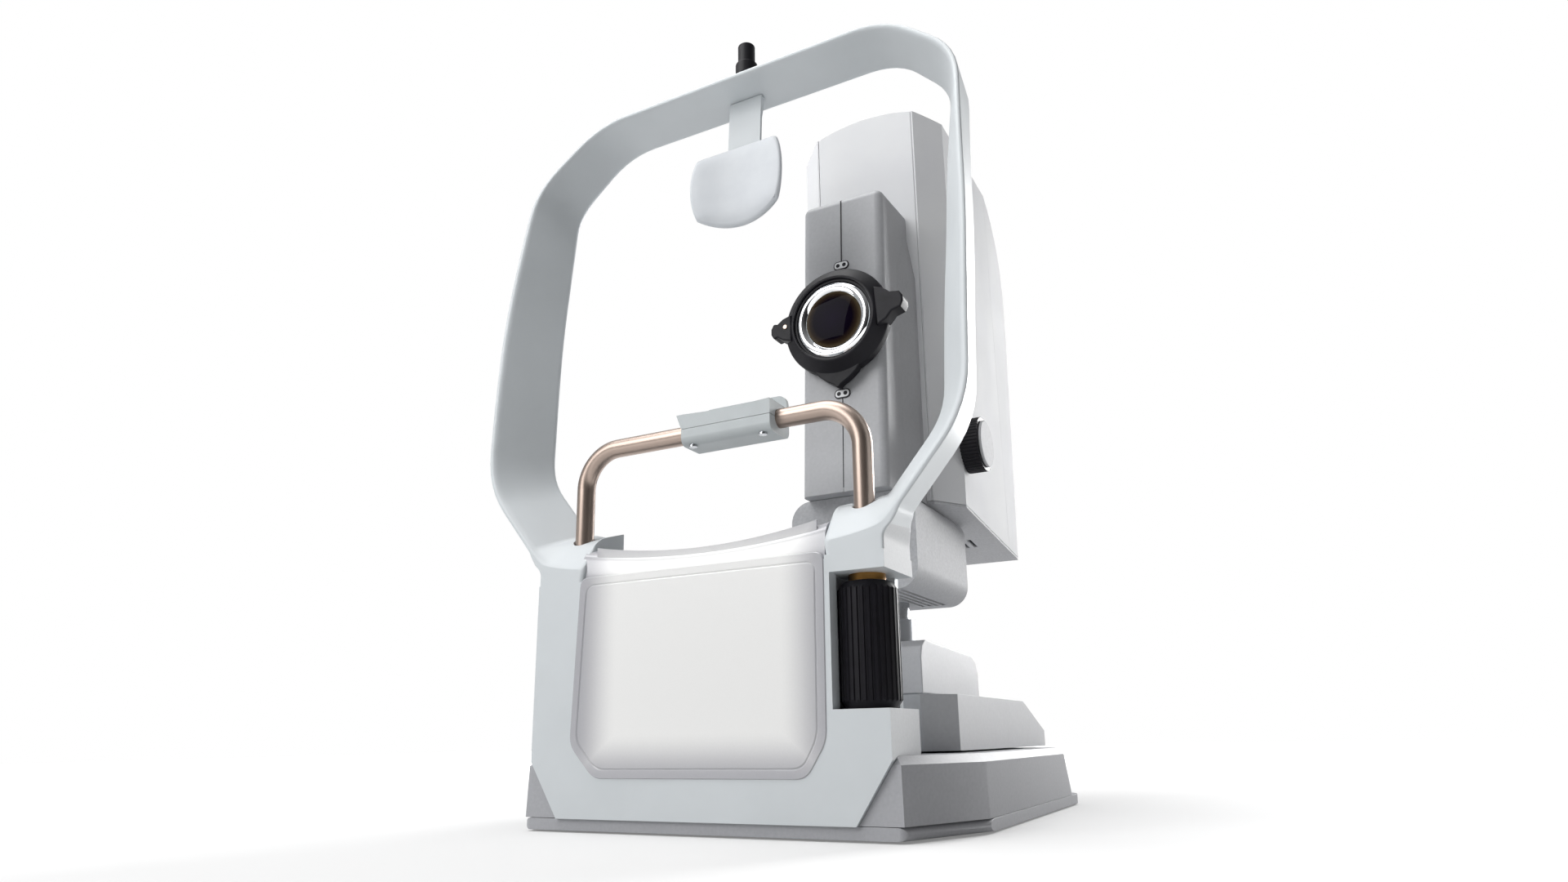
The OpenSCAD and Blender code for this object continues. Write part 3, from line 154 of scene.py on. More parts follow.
# %% Patterns
def mottle(material, tone, other, size_mm, amount):
    """Cloudy change between two close tones, as on moulded and painted shells."""
    tree, surface, place = inside(material)
    cloud = add(tree, "ShaderNodeTexNoise", [(place, "Vector")], Scale=1000 / size_mm, Detail=3.0)
    ramp = add(tree, "ShaderNodeValToRGB", [(cloud.outputs["Fac"], "Fac")])
    low, high = ramp.color_ramp.elements
    low.position, high.position = 0.5 - amount, 0.5 + amount
    low.color, high.color = hue(tone), hue(other)
    tree.links.new(ramp.outputs["Color"], surface.inputs["Base Color"])


def grain(material, size_mm, height_mm):
    """Bump from a fine noise whose grains are size_mm apart and height_mm high."""
    tree, surface, place = inside(material)
    noise = add(tree, "ShaderNodeTexNoise", [(place, "Vector")], Scale=1000 / size_mm, Detail=2.0)
    bump = add(tree, "ShaderNodeBump", [(noise.outputs["Fac"], "Height")],
               Strength=1.0, Distance=height_mm / 1000)
    tree.links.new(bump.outputs["Normal"], surface.inputs["Normal"])


def worn(material, low, high, size_mm):
    """Roughness that drifts between two values, as handling leaves it."""
    tree, surface, place = inside(material)
    cloud = add(tree, "ShaderNodeTexNoise", [(place, "Vector")], Scale=1000 / size_mm, Detail=4.0)
    span = add(tree, "ShaderNodeMapRange", [(cloud.outputs["Fac"], "Value")], To_Min=low, To_Max=high)
    tree.links.new(span.outputs["Result"], surface.inputs["Roughness"])


print("patterns ready: clouds, grain, wear")

# %% [markdown]
# ## Painted pieces
#
# The headrest is a casting with a cool white satin paint, structured on its right flank, and the base has a
# darker structured paint. Each could be one plain colour, but then large faces look lifeless, so clouds,
# wear and grain break them up. The grains here and in the next cells are drawn coarser than real, or they
# would not show at this distance.

# %% Painted pieces
# Satin paint on a casting: soft cool highlights with a faint orange peel.
headrest_paint = finish("satin_paint_cool_white", "#CCD1D4", Roughness=0.42, IOR=1.5)
mottle(headrest_paint, "#C9CED1", "#CFD4D7", 60, 0.25)
worn(headrest_paint, 0.36, 0.48, 45)
grain(headrest_paint, 2.2, 0.002)

# The same white with a structure: a fine speckle and no clear highlight.
headrest_texture = finish("structured_paint_cool_white", "#C9CBCD", Roughness=0.6, IOR=1.5)
mottle(headrest_texture, "#C5C7C9", "#CDCFD1", 2.4, 0.3)
grain(headrest_texture, 1.4, 0.09)

# Structured grey paint: darker, with weak reflections.
base_grey = finish("structured_paint_grey", "#A8A9AD", Roughness=0.5, IOR=1.5, Specular_IOR_Level=0.25)
mottle(base_grey, "#A3A4A8", "#ADAEB2", 2.6, 0.3)
worn(base_grey, 0.44, 0.56, 50)
grain(base_grey, 1.6, 0.04)
print("paints ready")

# %% [markdown]
# ## Moulded covers
#
# The camera's covers are moulded ABS: smooth white on the head, a spark-eroded texture below it, and two
# greys on the front cover and the cross slide. They differ only in tone and grain, so each is the same short
# recipe with other values. With a full reflection the white would clip in the light from behind, so it has
# less.

# %% Moulded covers
# White ABS: bright and even, with hardly any reflection.
shell_white = finish("moulded_abs_white", "#DDDEE0", Roughness=0.6, IOR=1.5, Specular_IOR_Level=0.035)
mottle(shell_white, "#DADBDE", "#E0E1E2", 70, 0.25)
worn(shell_white, 0.52, 0.68, 50)
grain(shell_white, 1.6, 0.02)

# Spark-eroded ABS: a matt grey whose fine pits scatter the light.
shell_textured = finish("spark_eroded_abs_light_grey", "#B6B7BA", Roughness=0.65, IOR=1.5,
                        Specular_IOR_Level=0.25)
mottle(shell_textured, "#ADAEB1", "#BFC0C3", 2.4, 0.25)
grain(shell_textured, 1.4, 0.09)

# Light grey ABS of the slide: satin, with broad weak highlights.
slide_grey = finish("moulded_abs_light_grey", "#BCBDC0", Roughness=0.5, IOR=1.5)
mottle(slide_grey, "#B8B9BC", "#C0C1C4", 3.0, 0.3)
worn(slide_grey, 0.44, 0.56, 40)
grain(slide_grey, 1.5, 0.03)

# Grey ABS of the front cover: the same satin, a tone darker.
cover_grey = finish("moulded_abs_grey", "#ACADB0", Roughness=0.5, IOR=1.5)
mottle(cover_grey, "#A8A9AC", "#B0B1B4", 3.0, 0.3)
worn(cover_grey, 0.44, 0.56, 40)
grain(cover_grey, 1.5, 0.03)
print("cover finishes ready")

# %% [markdown]
# ## Small moulded pieces
#
# The pad has a soft touch, the chin rest is moulded ABS, knobs and grips are black nylon, the feet are rubber
# and the alignment marks are printed. A velvet shader could make the pad look soft, but the sheen layer of
# our usual shader is enough. The black pieces reflect little, so that they stay black in a white studio.

# %% Small moulded pieces
# Soft-touch polymer: pale, with a bloom where it turns away.
pad_grey = finish("soft_touch_polymer_pale_grey", "#CDD1D6", Roughness=0.55, IOR=1.48, Sheen_Weight=0.15)
mottle(pad_grey, "#C9CDD2", "#D1D5D9", 18, 0.3)
worn(pad_grey, 0.5, 0.62, 25)
grain(pad_grey, 1.2, 0.03)

# Cool grey ABS of the chin rest: satin, a little shinier in patches.
chin_grey = finish("moulded_abs_cool_grey", "#B7BDBF", Roughness=0.5, IOR=1.5)
mottle(chin_grey, "#B3B9BB", "#BBC1C3", 20, 0.3)
worn(chin_grey, 0.44, 0.58, 18)
grain(chin_grey, 1.4, 0.02)

# Pale ABS of the button: a light satin.
trim_light = finish("moulded_abs_pale", "#D6D9DB", Roughness=0.45, IOR=1.5)
mottle(trim_light, "#D2D5D7", "#D9DCDE", 24, 0.3)
grain(trim_light, 1.4, 0.02)

# Black nylon: deep, with dull highlights on its edges.
black_moulded = finish("moulded_nylon_black", "#131217", Roughness=0.5, IOR=1.5, Specular_IOR_Level=0.2)
mottle(black_moulded, "#0F0E13", "#18171D", 8, 0.3)
worn(black_moulded, 0.38, 0.52, 12)
grain(black_moulded, 1.1, 0.02)

# Nitrile rubber: black and dull from every side.
foot_rubber = finish("nitrile_rubber_black", "#121213", Roughness=0.85, IOR=1.5)
mottle(foot_rubber, "#0F0F10", "#17171A", 5, 0.3)
grain(foot_rubber, 0.9, 0.04)

# Printed plate: a clean white.
mark_white = finish("printed_plate_white", "#E4E5E7", Roughness=0.4, IOR=1.5)
mottle(mark_white, "#E1E2E4", "#E7E8EA", 6, 0.3)
grain(mark_white, 0.8, 0.01)

# Dark print: nearly black, with little gloss. The same dark also paints the shade in the cover's seam.
dark_print_and_seam_shade = finish("printed_mark_and_seam_shade_dark", "#1B1A20", Roughness=0.5, IOR=1.5, Specular_IOR_Level=0.3)
mottle(dark_print_and_seam_shade, "#18171D", "#201F25", 4, 0.3)
grain(dark_print_and_seam_shade, 0.8, 0.01)
print("finishes of small pieces ready")

# %% [markdown]
# ## Metals
#
# The chin-rest tube is bead-blasted stainless steel with a warm champagne tone. Rails and screws are ground
# steel, the slide's plates are milled aluminium and the bushes are turned bronze. The shader's anisotropic
# setting could show how they were cut, but it needs a tangent on every face. A stretched noise that drives
# roughness and bump works on any mesh.

# %% Metals
def metal(name, colour, low, high, scale_mm, stretch):
    """A metal with fine streaks, scale_mm apart, in its roughness and bump."""
    material = finish(name, colour, Metallic=1.0, Roughness=(low + high) / 2)
    tree, surface, place = inside(material)
    along = add(tree, "ShaderNodeMapping", [(place, "Vector")])
    along.inputs["Scale"].default_value = stretch
    streak = add(tree, "ShaderNodeTexNoise", [(along.outputs["Vector"], "Vector")],
                 Scale=1000 / scale_mm, Detail=5.0)
    span = add(tree, "ShaderNodeMapRange", [(streak.outputs["Fac"], "Value")], To_Min=low, To_Max=high)
    tree.links.new(span.outputs["Result"], surface.inputs["Roughness"])
    bump = add(tree, "ShaderNodeBump", [(streak.outputs["Fac"], "Height")], Strength=0.6, Distance=0.00002)
    tree.links.new(bump.outputs["Normal"], surface.inputs["Normal"])
    return material


# Blasted steel: blurred warm reflections.
tube_steel = metal("blasted_stainless_champagne", "#A8988E", 0.28, 0.4, 1.2, (1, 1, 1))
# Ground steel: cool reflections between fine lines.
ground_steel = metal("ground_steel", "#B9BCC0", 0.22, 0.36, 1.0, (1, 1, 8))
# Milled aluminium: greyer and duller, with the tool's streaks.
milled_aluminium = metal("milled_aluminium", "#A9ACB1", 0.32, 0.46, 1.5, (6, 1, 1))
# Turned bronze: a warm brown sheen with rings.
turned_bronze = metal("turned_bronze", "#8E6A3A", 0.24, 0.38, 0.8, (1, 1, 12))
# Polished mirror: a clear bright image of the studio.
mirror_chrome = metal("polished_mirror", "#E8E9EB", 0.03, 0.06, 20, (1, 1, 1))
print("metals ready")

# %% [markdown]
# ## Opal acrylic
#
# The front panel is opal acrylic: light goes in and comes back softly, so it looks brighter in the middle,
# where there is white behind it, and greyer along its rim. Subsurface scattering could show that, but it is
# slow and noisy, so a painted shade stands for it: the tone greys towards the panel's sides, its foot and
# its top, over the roll above the crease.

# %% Opal acrylic
# Milky white under a glossy skin, with painted shade that greys it towards the rim and over the roll.
opal_acrylic = finish("opal_acrylic", "#EEEEED", Roughness=0.22, IOR=1.49,
                      Coat_Weight=0.25, Coat_Roughness=0.08)
tree, surface, place = inside(opal_acrylic)
parts = add(tree, "ShaderNodeSeparateXYZ", [(place, "Vector")])
half = add(tree, "ShaderNodeMath", [(parts.outputs["X"], 0)], operation="ABSOLUTE")
across, height = half.outputs[0], parts.outputs["Z"]
# Painted shade: darker towards the sides, the foot and the top, from the crease over the roll.
edges = [
    add(tree, "ShaderNodeMapRange", [(source, "Value")], interpolation_type="SMOOTHSTEP",
        From_Min=start, From_Max=end).outputs["Result"]
    for source, start, end in ((across, 0.072, 0.112), (height, 0.076, 0.042), (height, 0.198, 0.24))
]
painted_rim_shade = edges[0]
for edge in edges[1:]:
    painted_rim_shade = add(tree, "ShaderNodeMath", [(painted_rim_shade, 0), (edge, 1)], operation="MAXIMUM").outputs[0]
cloud = add(tree, "ShaderNodeTexNoise", [(place, "Vector")], Scale=1000 / 1.5, Detail=2.0)
soft = add(tree, "ShaderNodeMapRange", [(cloud.outputs["Fac"], "Value")], To_Min=-0.04, To_Max=0.04)
mixed = add(tree, "ShaderNodeMath", [(painted_rim_shade, 0), (soft.outputs["Result"], 1)],
            operation="ADD", use_clamp=True)
tone = add(tree, "ShaderNodeValToRGB", [(mixed.outputs[0], "Fac")])
tone.color_ramp.elements[0].color, tone.color_ramp.elements[1].color = hue("#F0F0EF"), hue("#AFAFB4")
tree.links.new(tone.outputs["Color"], surface.inputs["Base Color"])
grain(opal_acrylic, 1.2, 0.006)
print("opal acrylic ready")

# %% [markdown]
# ## Coated and smoked glass
#
# The front lens has a coating that leaves only a dark violet reflection, and the operator's screen is smoked
# glass. Clear glass over the inner lenses could be traced, but there is only darkness behind it, so the lens
# is a dark surface with painted reflections, whose tone changes in rings about its axis.

# %% Coated and smoked glass
# Coated glass: almost black, with painted reflections, violet in the middle and brown at its edge.
coated_lens = finish("coated_objective_glass", "#0D0716", Roughness=0.03, IOR=1.5, Specular_IOR_Level=0.03)
tree, surface, place = inside(coated_lens)
parts = add(tree, "ShaderNodeSeparateXYZ", [(place, "Vector")])
across = add(tree, "ShaderNodeMath", [(parts.outputs["X"], 0)], operation="SUBTRACT")
across.inputs[1].default_value = STAGE_X / 1000
rise = add(tree, "ShaderNodeMath", [(parts.outputs["Z"], 0)], operation="SUBTRACT")
rise.inputs[1].default_value = LENS_Z / 1000
square = add(tree, "ShaderNodeCombineXYZ", [(across.outputs[0], "X"), (rise.outputs[0], "Y")])
reach = add(tree, "ShaderNodeVectorMath", [(square.outputs["Vector"], 0)], operation="LENGTH")
# Painted reflections in rings about the lens axis: violet in the middle, brown towards the edge.
band = add(tree, "ShaderNodeMapRange", [(reach.outputs["Value"], "Value")], From_Min=0.0, From_Max=0.028)
tone = add(tree, "ShaderNodeValToRGB", [(band.outputs["Result"], "Fac")])
tone.color_ramp.elements[0].color, tone.color_ramp.elements[1].color = hue("#120A1E"), hue("#4A4030")
tone.color_ramp.elements.new(0.72).color = hue("#0B0612")
tone.color_ramp.elements.new(0.88).color = hue("#2A2018")
tree.links.new(tone.outputs["Color"], surface.inputs["Base Color"])

# Smoked glass: a dark screen with sharp reflections.
smoked_glass = finish("smoked_screen_glass", "#14171C", Roughness=0.08, IOR=1.52,
                      Coat_Weight=0.5, Coat_Roughness=0.03)
mottle(smoked_glass, "#111419", "#181B21", 30, 0.3)
worn(smoked_glass, 0.05, 0.14, 20)
print("glass ready")

# %% [markdown]
# ## From a mesh to a piece
#
# Every dressed piece needs a finish, the body that it rides on and the names of the solids that it stands
# for. It is smooth but for its hard edges. The editor's Shade Auto Smooth finds those with a modifier, but
# marked in the bmesh they stay with the mesh. A weighted-normal modifier keeps the flats flat.

# %% From a mesh to a piece
def dress(piece, material, body, nodes=()):
    """Give a piece its finish, the body that it rides on and the nodes that it stands for."""
    piece.data.materials.clear()
    piece.data.materials.append(material)
    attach(piece, body)
    if nodes:
        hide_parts(*nodes)
    return piece


def settle(name, bm, sharp=40):
    """Make a bmesh an object, smooth but for edges that turn by more than sharp degrees."""
    mesh = bpy.data.meshes.new(name)
    for face in bm.faces:
        face.smooth = True
    for edge in bm.edges:
        edge.smooth = len(edge.link_faces) == 2 and edge.calc_face_angle(0) < radians(sharp)
    bm.to_mesh(mesh)
    bm.free()
    piece = bpy.data.objects.new(name, mesh)
    bpy.context.collection.objects.link(piece)
    flats = piece.modifiers.new("flats", "WEIGHTED_NORMAL")
    flats.keep_sharp = True
    return piece


def finished(node, bm, material, sharp=40):
    """Make the bmesh the piece that stands for a node."""
    piece = settle(node + "_dressed", bm, sharp)
    return dress(piece, material, body_of_node[node], [node])


def spot(x, y, z):
    """Millimetres, with Y counted from the headrest's front face, to metres."""
    return Vector((x, y - FRONT_Y, z)) / 1000


print("the lens axis meets the headrest's front plane at", [round(c, 3) for c in spot(STAGE_X, 0, LENS_Z)])

# %% [markdown]
# ## Rounded copies of the solids
#
# A moulded or cast shell has no sharp edges: each edge catches a thin line of light. A Bevel modifier could
# round them, but the solids are loose triangles. So we copy a solid's mesh, weld its triangles, dissolve the
# flat ones into whole faces, and bevel every edge that turns by more than a set angle.

# %% Rounded copies of the solids
def welded(node):
    """A copy of a node's mesh, with its flat triangles joined to whole faces."""
    bm = bmesh.new()
    bm.from_mesh(frame["nodes"][node].data)
    bmesh.ops.remove_doubles(bm, verts=bm.verts, dist=2e-6)
    bmesh.ops.dissolve_limit(bm, angle_limit=radians(0.5), verts=bm.verts, edges=bm.edges, delimit={"NORMAL"})
    return bm


def bevel(bm, edges, width_mm, segments=3, clamp=False):
    bmesh.ops.bevel(bm, geom=edges, offset=width_mm / 1000, offset_type="OFFSET", segments=segments,
                    profile=0.5, affect="EDGES", clamp_overlap=clamp, material=-1)


def hard_edges(bm, angle=28):
    return [e for e in bm.edges if len(e.link_faces) == 2 and e.calc_face_angle(0) > radians(angle)]


def round_edges(bm, width_mm, angle=28):
    bevel(bm, hard_edges(bm, angle), width_mm, clamp=True)


def rounded(node, material, width_mm, wide_mm=0, where=None):
    """Copy a solid with rounded edges, those that where picks with the wider radius."""
    bm = welded(node)
    if where:
        front = Vector((0, FRONT_Y / 1000, 0))
        wide = [e for e in hard_edges(bm) if where((e.verts[0].co + e.verts[1].co) / 2 + front)]
        bevel(bm, wide, wide_mm, 6, clamp=True)
    round_edges(bm, width_mm)
    return finished(node, bm, material)


for node, material, width in (
    ("joystick_pod", slide_grey, 1.5), ("head_front_plate", shell_white, 1.0),
    ("head_rear_cover", shell_white, 1.0), ("chin_tray", chin_grey, 1.6), ("chin_clamp", chin_grey, 1.6),
    ("forehead_strap", headrest_paint, 0.8), ("height_knob", black_moulded, 0.3),
    ("focus_knob", black_moulded, 0.25), ("focus_cap", shell_textured, 1.2),
    ("lamp_socket", black_moulded, 0.8), ("display_frame", black_moulded, 0.8),
    ("capture_button", trim_light, 0.8), ("joystick", black_moulded, 0.8),
    ("height_ring", black_moulded, 0.3), ("stage_lock", black_moulded, 0.3),
):
    piece = rounded(node, material, width)
    print(piece.name, len(piece.data.polygons), "faces")

# %% [markdown]
# ## Base, slide and head
#
# The big shells have their shapes in the solids too, and they get the radius that each moulding has. Some
# have one wider edge: the base pan at its front corners, the deck's cover along its top and the head's sides
# at their front. One bevel of one width would be simpler, but the eye sees these edges first.

# %% Base, slide and head
def front_corner(p):
    return abs(p.x) > 0.15 and p.y < 0.05


def deck_corner(p):
    return p.z > 0.07


def head_edge(p):
    return abs(p.x - STAGE_X / 1000) > 0.05 and 0.236 < p.y < 0.29 and 0.3 < p.z


rounded("base_pan", base_grey, 1.2, wide_mm=8, where=front_corner)
rounded("base_cover", base_grey, 3.0)
rounded("deck_cover", slide_grey, 1.2, wide_mm=5, where=deck_corner)
rounded("stage_cover", slide_grey, 2.5)
for side in ("left", "right"):
    rounded("head_side_" + side, shell_white, 0.8, wide_mm=4, where=head_edge)
print("base, slide and head rounded")

# %% [markdown]
# ## Cooling slots
#
# The lower body and the pan below the head have slots in their undersides. Dark stripes could be painted on,
# but real slots hold shadow from every side. They are cut with blocks by a boolean modifier, whose exact
# solver leaves clean rims, and rounded after that.

# %% Cooling slots
def block(low, high):
    """A box between two corners given in millimetres."""
    bm = bmesh.new()
    low, high = spot(*low), spot(*high)
    size = Matrix.Diagonal((*(high - low), 1))
    bmesh.ops.create_cube(bm, size=1, matrix=Matrix.Translation((low + high) / 2) @ size)
    return bm


def carve(bm, *cutters):
    """Take the cutters away from a bmesh."""
    made = []
    for shape in (bm, *cutters):
        mesh = bpy.data.meshes.new("carving")
        shape.to_mesh(mesh)
        shape.free()
        made.append(bpy.data.objects.new("carving", mesh))
        bpy.context.collection.objects.link(made[-1])
    for tool in made[1:]:
        step = made[0].modifiers.new("cut", "BOOLEAN")
        step.object, step.operation, step.solver = tool, "DIFFERENCE", "EXACT"
    result = bmesh.new()
    result.from_object(made[0], bpy.context.evaluated_depsgraph_get())
    for shape in made:
        bpy.data.meshes.remove(shape.data)
    bmesh.ops.remove_doubles(result, verts=result.verts, dist=2e-6)
    bmesh.ops.dissolve_limit(result, angle_limit=radians(0.5), verts=result.verts, edges=result.edges)
    return result


SLOT_HALF = 2
for node, width, places, (y0, y1), (z0, z1) in (
    ("lower_body", 1.0, (21, 28, 35, 42), (230, 300), (190, 203)),
    ("head_bottom_pan", 0.6, (34, 43, 52), (368, 396), (255, 285)),
):
    middles = [STAGE_X + x for x in places]
    shell = carve(welded(node), *[block((x - SLOT_HALF, y0, z0), (x + SLOT_HALF, y1, z1)) for x in middles])
    round_edges(shell, width)
    piece = finished(node, shell, shell_textured)
    print(piece.name, len(places), "slots,", len(piece.data.polygons), "faces")

# %% [markdown]
# ## The loop's band
#
# The solid loop is a chain of flat facets that stands on a block. The real casting flows: its band leans back
# as it rises and thins towards the top bar. A curve with a bevel profile could make a band of one section,
# but this section changes all the way. So we work out a ring for each place on the path, with five corners:
# front edge, front ridge, middle, back inside and back outside. Only the right half is made.

# %% The loop's band
def soften(corner, before, after, reach, steps=5):
    """Points of a smooth curve that replaces a corner, reach away from it on both sides."""
    start = corner.lerp(before, min(0.45, reach / max((before - corner).length, 1e-9)))
    end = corner.lerp(after, min(0.45, reach / max((after - corner).length, 1e-9)))
    shares = [i / (steps - 1) for i in range(steps)]
    return [start * (1 - f) ** 2 + corner * 2 * f * (1 - f) + end * f ** 2 for f in shares]


def corner_path(points, reach):
    """A line through points, with its corners softened."""
    path = [Vector(points[0])]
    for before, corner, after in zip(points, points[1:], points[2:]):
        path += soften(Vector(corner), Vector(before), Vector(after), reach, 7)
    return path + [Vector(points[-1])]


BAND_FOOT, LOOP_TOP = 231.5, 690
BAND_DEPTH, TOP_LEAN = 52, 57
FOOT_THICK, TOP_THICK = 36, 11
RIDGE, BACK_INSET, RING_STEP = 5, 9, 22
corners = [(173.3, BAND_FOOT), (227, 296), (231, 460), (226, 624), (157, LOOP_TOP), (0, LOOP_TOP)]
outline = corner_path(corners, 34)
dense = [outline[0]]
for point in outline[1:]:
    start = dense[-1]
    pieces = max(1, round((point - start).length / RING_STEP))
    dense += [start.lerp(point, (i + 1) / pieces) for i in range(pieces)]
dense[-1] = Vector((0, LOOP_TOP))

band_rings = []
for i, point in enumerate(dense):
    along = dense[min(i + 1, len(dense) - 1)] - dense[max(i - 1, 0)]
    if i == len(dense) - 1:
        along = Vector((-1, 0))
    inward = Vector((-along.y, along.x)).normalized()
    rise = (point.y - BAND_FOOT) / (LOOP_TOP - BAND_FOOT)
    lean, thick = TOP_LEAN * rise ** 2, FOOT_THICK - (FOOT_THICK - TOP_THICK) * rise ** 3
    middle = (RIDGE + 0.4 * (thick - RIDGE), 0.4 * BAND_DEPTH)
    outside = (BACK_INSET * thick / FOOT_THICK, BAND_DEPTH)
    section = [(0, 0), (RIDGE, 0), middle, (thick, BAND_DEPTH), outside]
    band_rings.append([spot(point.x + inward.x * r, lean + y, point.y + inward.y * r) for r, y in section])
print("rings of the band:", len(band_rings))

# %% [markdown]
# ## The saddles
#
# At its foot the band spreads into two saddles. No formula gives this form, so its rings are listed,
# one above another. Straight steps between them would show, so a Catmull-Rom curve, which passes
# through every ring, adds three rings between each two.

# %% The saddles
saddle_rings = [[spot(*p) for p in ring] for ring in (
    ((158, 0, 199), (111.6, 0, 199), (111.6, 21, 199), (111.6, 58, 199), (158, 58, 199)),
    ((158, 0, 204), (111.6, 0, 209), (111.6, 20, 236), (111.6, 58, 247), (158, 58, 204)),
    ((158.2, 0, 209), (122, 0, 211), (117, 20, 238), (112.5, 58, 247.5), (158.2, 57, 210)),
    ((160.5, 0, 213.6), (137, 0, 213.5), (129, 20, 238.5), (119, 56, 248), (159.5, 56, 217)),
    ((164.5, 0, 217.6), (151, 0, 217.5), (140, 20.5, 239.5), (128, 54, 249), (161, 54, 225)),
    ((169, 0, 224.2), (161, 0, 225.5), (150.5, 20.8, 241), (137, 53, 251.5), (163.6, 53, 231.4)),
)]


def between(a, b, c, d, f):
    """Catmull-Rom curve from b to c."""
    square, cube = a * 2 - b * 5 + c * 4 - d, b * 3 - a - c * 3 + d
    return b + (c - a) * f / 2 + square * f ** 2 / 2 + cube * f ** 3 / 2


keys = saddle_rings + band_rings[:2]
rings = []
for i in range(len(saddle_rings)):
    around = [keys[max(i - 1, 0)], keys[i], keys[i + 1], keys[min(i + 2, len(keys) - 1)]]
    for f in (0, 0.25, 0.5, 0.75):
        rings.append([between(*[ring[k] for ring in around], f) for k in range(5)])
rings += band_rings
print("rings in all:", len(rings))

# %% [markdown]
# ## Loop and headrest body
#
# Now the rings' corners are softened, the rings are bridged, the half is mirrored and the tube's holes are
# cut. A subdivision surface could soften the form too, but it would shrink away from the solid. The body
# gives up the blocks that the saddles and the panel's roll take. Both have the structured paint on their
# right flank.

# %% Loop and headrest body
def loft(bm, rings):
    """Bridge closed rings of points one after another, and return each ring's edges."""
    loops = []
    for ring in rings:
        verts = [bm.verts.new(p) for p in ring]
        loops.append([bm.edges.new((verts[i - 1], verts[i])) for i in range(len(verts))])
    for lower, upper in zip(loops, loops[1:]):
        bmesh.ops.bridge_loops(bm, edges=lower + upper)
    return loops


def rod(centre, radius_mm, depth_mm, turn=Matrix(), sides=48):
    """An upright cylinder, or one that turn leans, around a centre."""
    bm = bmesh.new()
    radius = radius_mm / 1000
    bmesh.ops.create_cone(bm, cap_ends=True, segments=sides, radius1=radius, radius2=radius,
                          depth=depth_mm / 1000, matrix=Matrix.Translation(spot(*centre)) @ turn)
    return bm


TUBE_X, TUBE_Y, HOLE_RADIUS = 133.5, 28, 9.6
reaches = (2.2, 5, 12, 5, 4)
loop_bm = bmesh.new()
loops = loft(loop_bm, [
    [p for k in range(5) for p in soften(ring[k], ring[k - 1], ring[(k + 1) % 5], reaches[k] / 1000)]
    for ring in rings
])
bmesh.ops.edgeloop_fill(loop_bm, edges=loops[0])
whole = loop_bm.verts[:] + loop_bm.edges[:] + loop_bm.faces[:]
bmesh.ops.mirror(loop_bm, geom=whole, axis="X", merge_dist=1e-5)
bmesh.ops.recalc_face_normals(loop_bm, faces=loop_bm.faces)
loop_bm = carve(loop_bm, *[rod((x, TUBE_Y, 240), HOLE_RADIUS, 100) for x in (-TUBE_X, TUBE_X)])
loop = finished("headrest_loop", loop_bm, headrest_paint, 32)

body_bm = carve(
    welded("headrest_body"),
    block((111.3, -5, 199), (200, 80, 300)), block((-200, -5, 199), (-111.3, 80, 300)),
    block((-111.3, -5, 196), (111.3, 24, 260)),
)
round_edges(body_bm, 1.5)
body = finished("headrest_body", body_bm, headrest_paint)
for piece in (loop, body):
    piece.data.materials.append(headrest_texture)
    for face in piece.data.polygons:
        if face.normal.x > 0.9 and face.center.x > 0.1565 and face.center.z < 0.22:
            face.material_index = 1
print("loop:", len(loop.data.polygons), "faces, body:", len(body.data.polygons))

# %% [markdown]
# ## Front panel
#
# The opal panel is flat up to a crease. A groove runs inside its rim, and its left side is the wider one. An
# inset could draw the rim, but the outline's corners don't all move by the same share. So the flat is a stack
# of outlines, each a little smaller. Bridging twists outlines that lie this close together, so each point is
# joined to its own follower.

# %% Front panel
FOOT_Z, KNEE_Z, CREASE_Z = 41, 67, 202
FOOT_HALF, PROUD = 93.5, 0.8


def rim_half(side, wide, top, inset, y):
    """Half of the flat's outline, wide at its knee and top at its upper corner from the middle."""
    corners = [(0, FOOT_Z + inset), (FOOT_HALF - 0.4 * inset, FOOT_Z + inset),
               (wide - inset, KNEE_Z + 0.4 * inset), (top - inset, CREASE_Z - inset), (0, CREASE_Z - inset)]
    return [spot(side * p.x, y - PROUD, p.y) for p in corner_path(corners, 8)[1:-1]]


def rim(inset, y):
    """The flat's outline, moved inwards by inset and back by y."""
    return rim_half(1, 110, 111, inset, y) + rim_half(-1, 118.5, 113, inset, y)[::-1]


def skinned(rings):
    """A closed solid over rings of points, each point joined to the same one of the next ring."""
    bm = bmesh.new()
    rows = [[bm.verts.new(p) for p in ring] for ring in rings]
    for lower, upper in zip(rows, rows[1:]):
        for i in range(len(lower)):
            bm.faces.new((lower[i - 1], lower[i], upper[i], upper[i - 1]))
    for end in (rows[0], rows[-1]):
        bm.faces.new(end)
    bmesh.ops.recalc_face_normals(bm, faces=bm.faces)
    return bm


steps = ((0, 3), (0, 0.6), (0.6, 0), (6, 0), (7, 0.7), (8, 0))
flat = settle("front_panel_flat", skinned([rim(inset, y) for inset, y in steps]), 30)
dress(flat, opal_acrylic, "base", ["front_panel"])
print("panel:", len(flat.data.polygons), "faces")

# %% [markdown]
# ## The panel's roll
#
# Above the crease the panel rolls back over the headrest's top edge, which dips in the middle. A bent strip
# could follow a curve modifier, but the dip changes its height from left to right. So each column of a grid
# gets its own Bezier curve, and solidify gives the sheet its thickness.

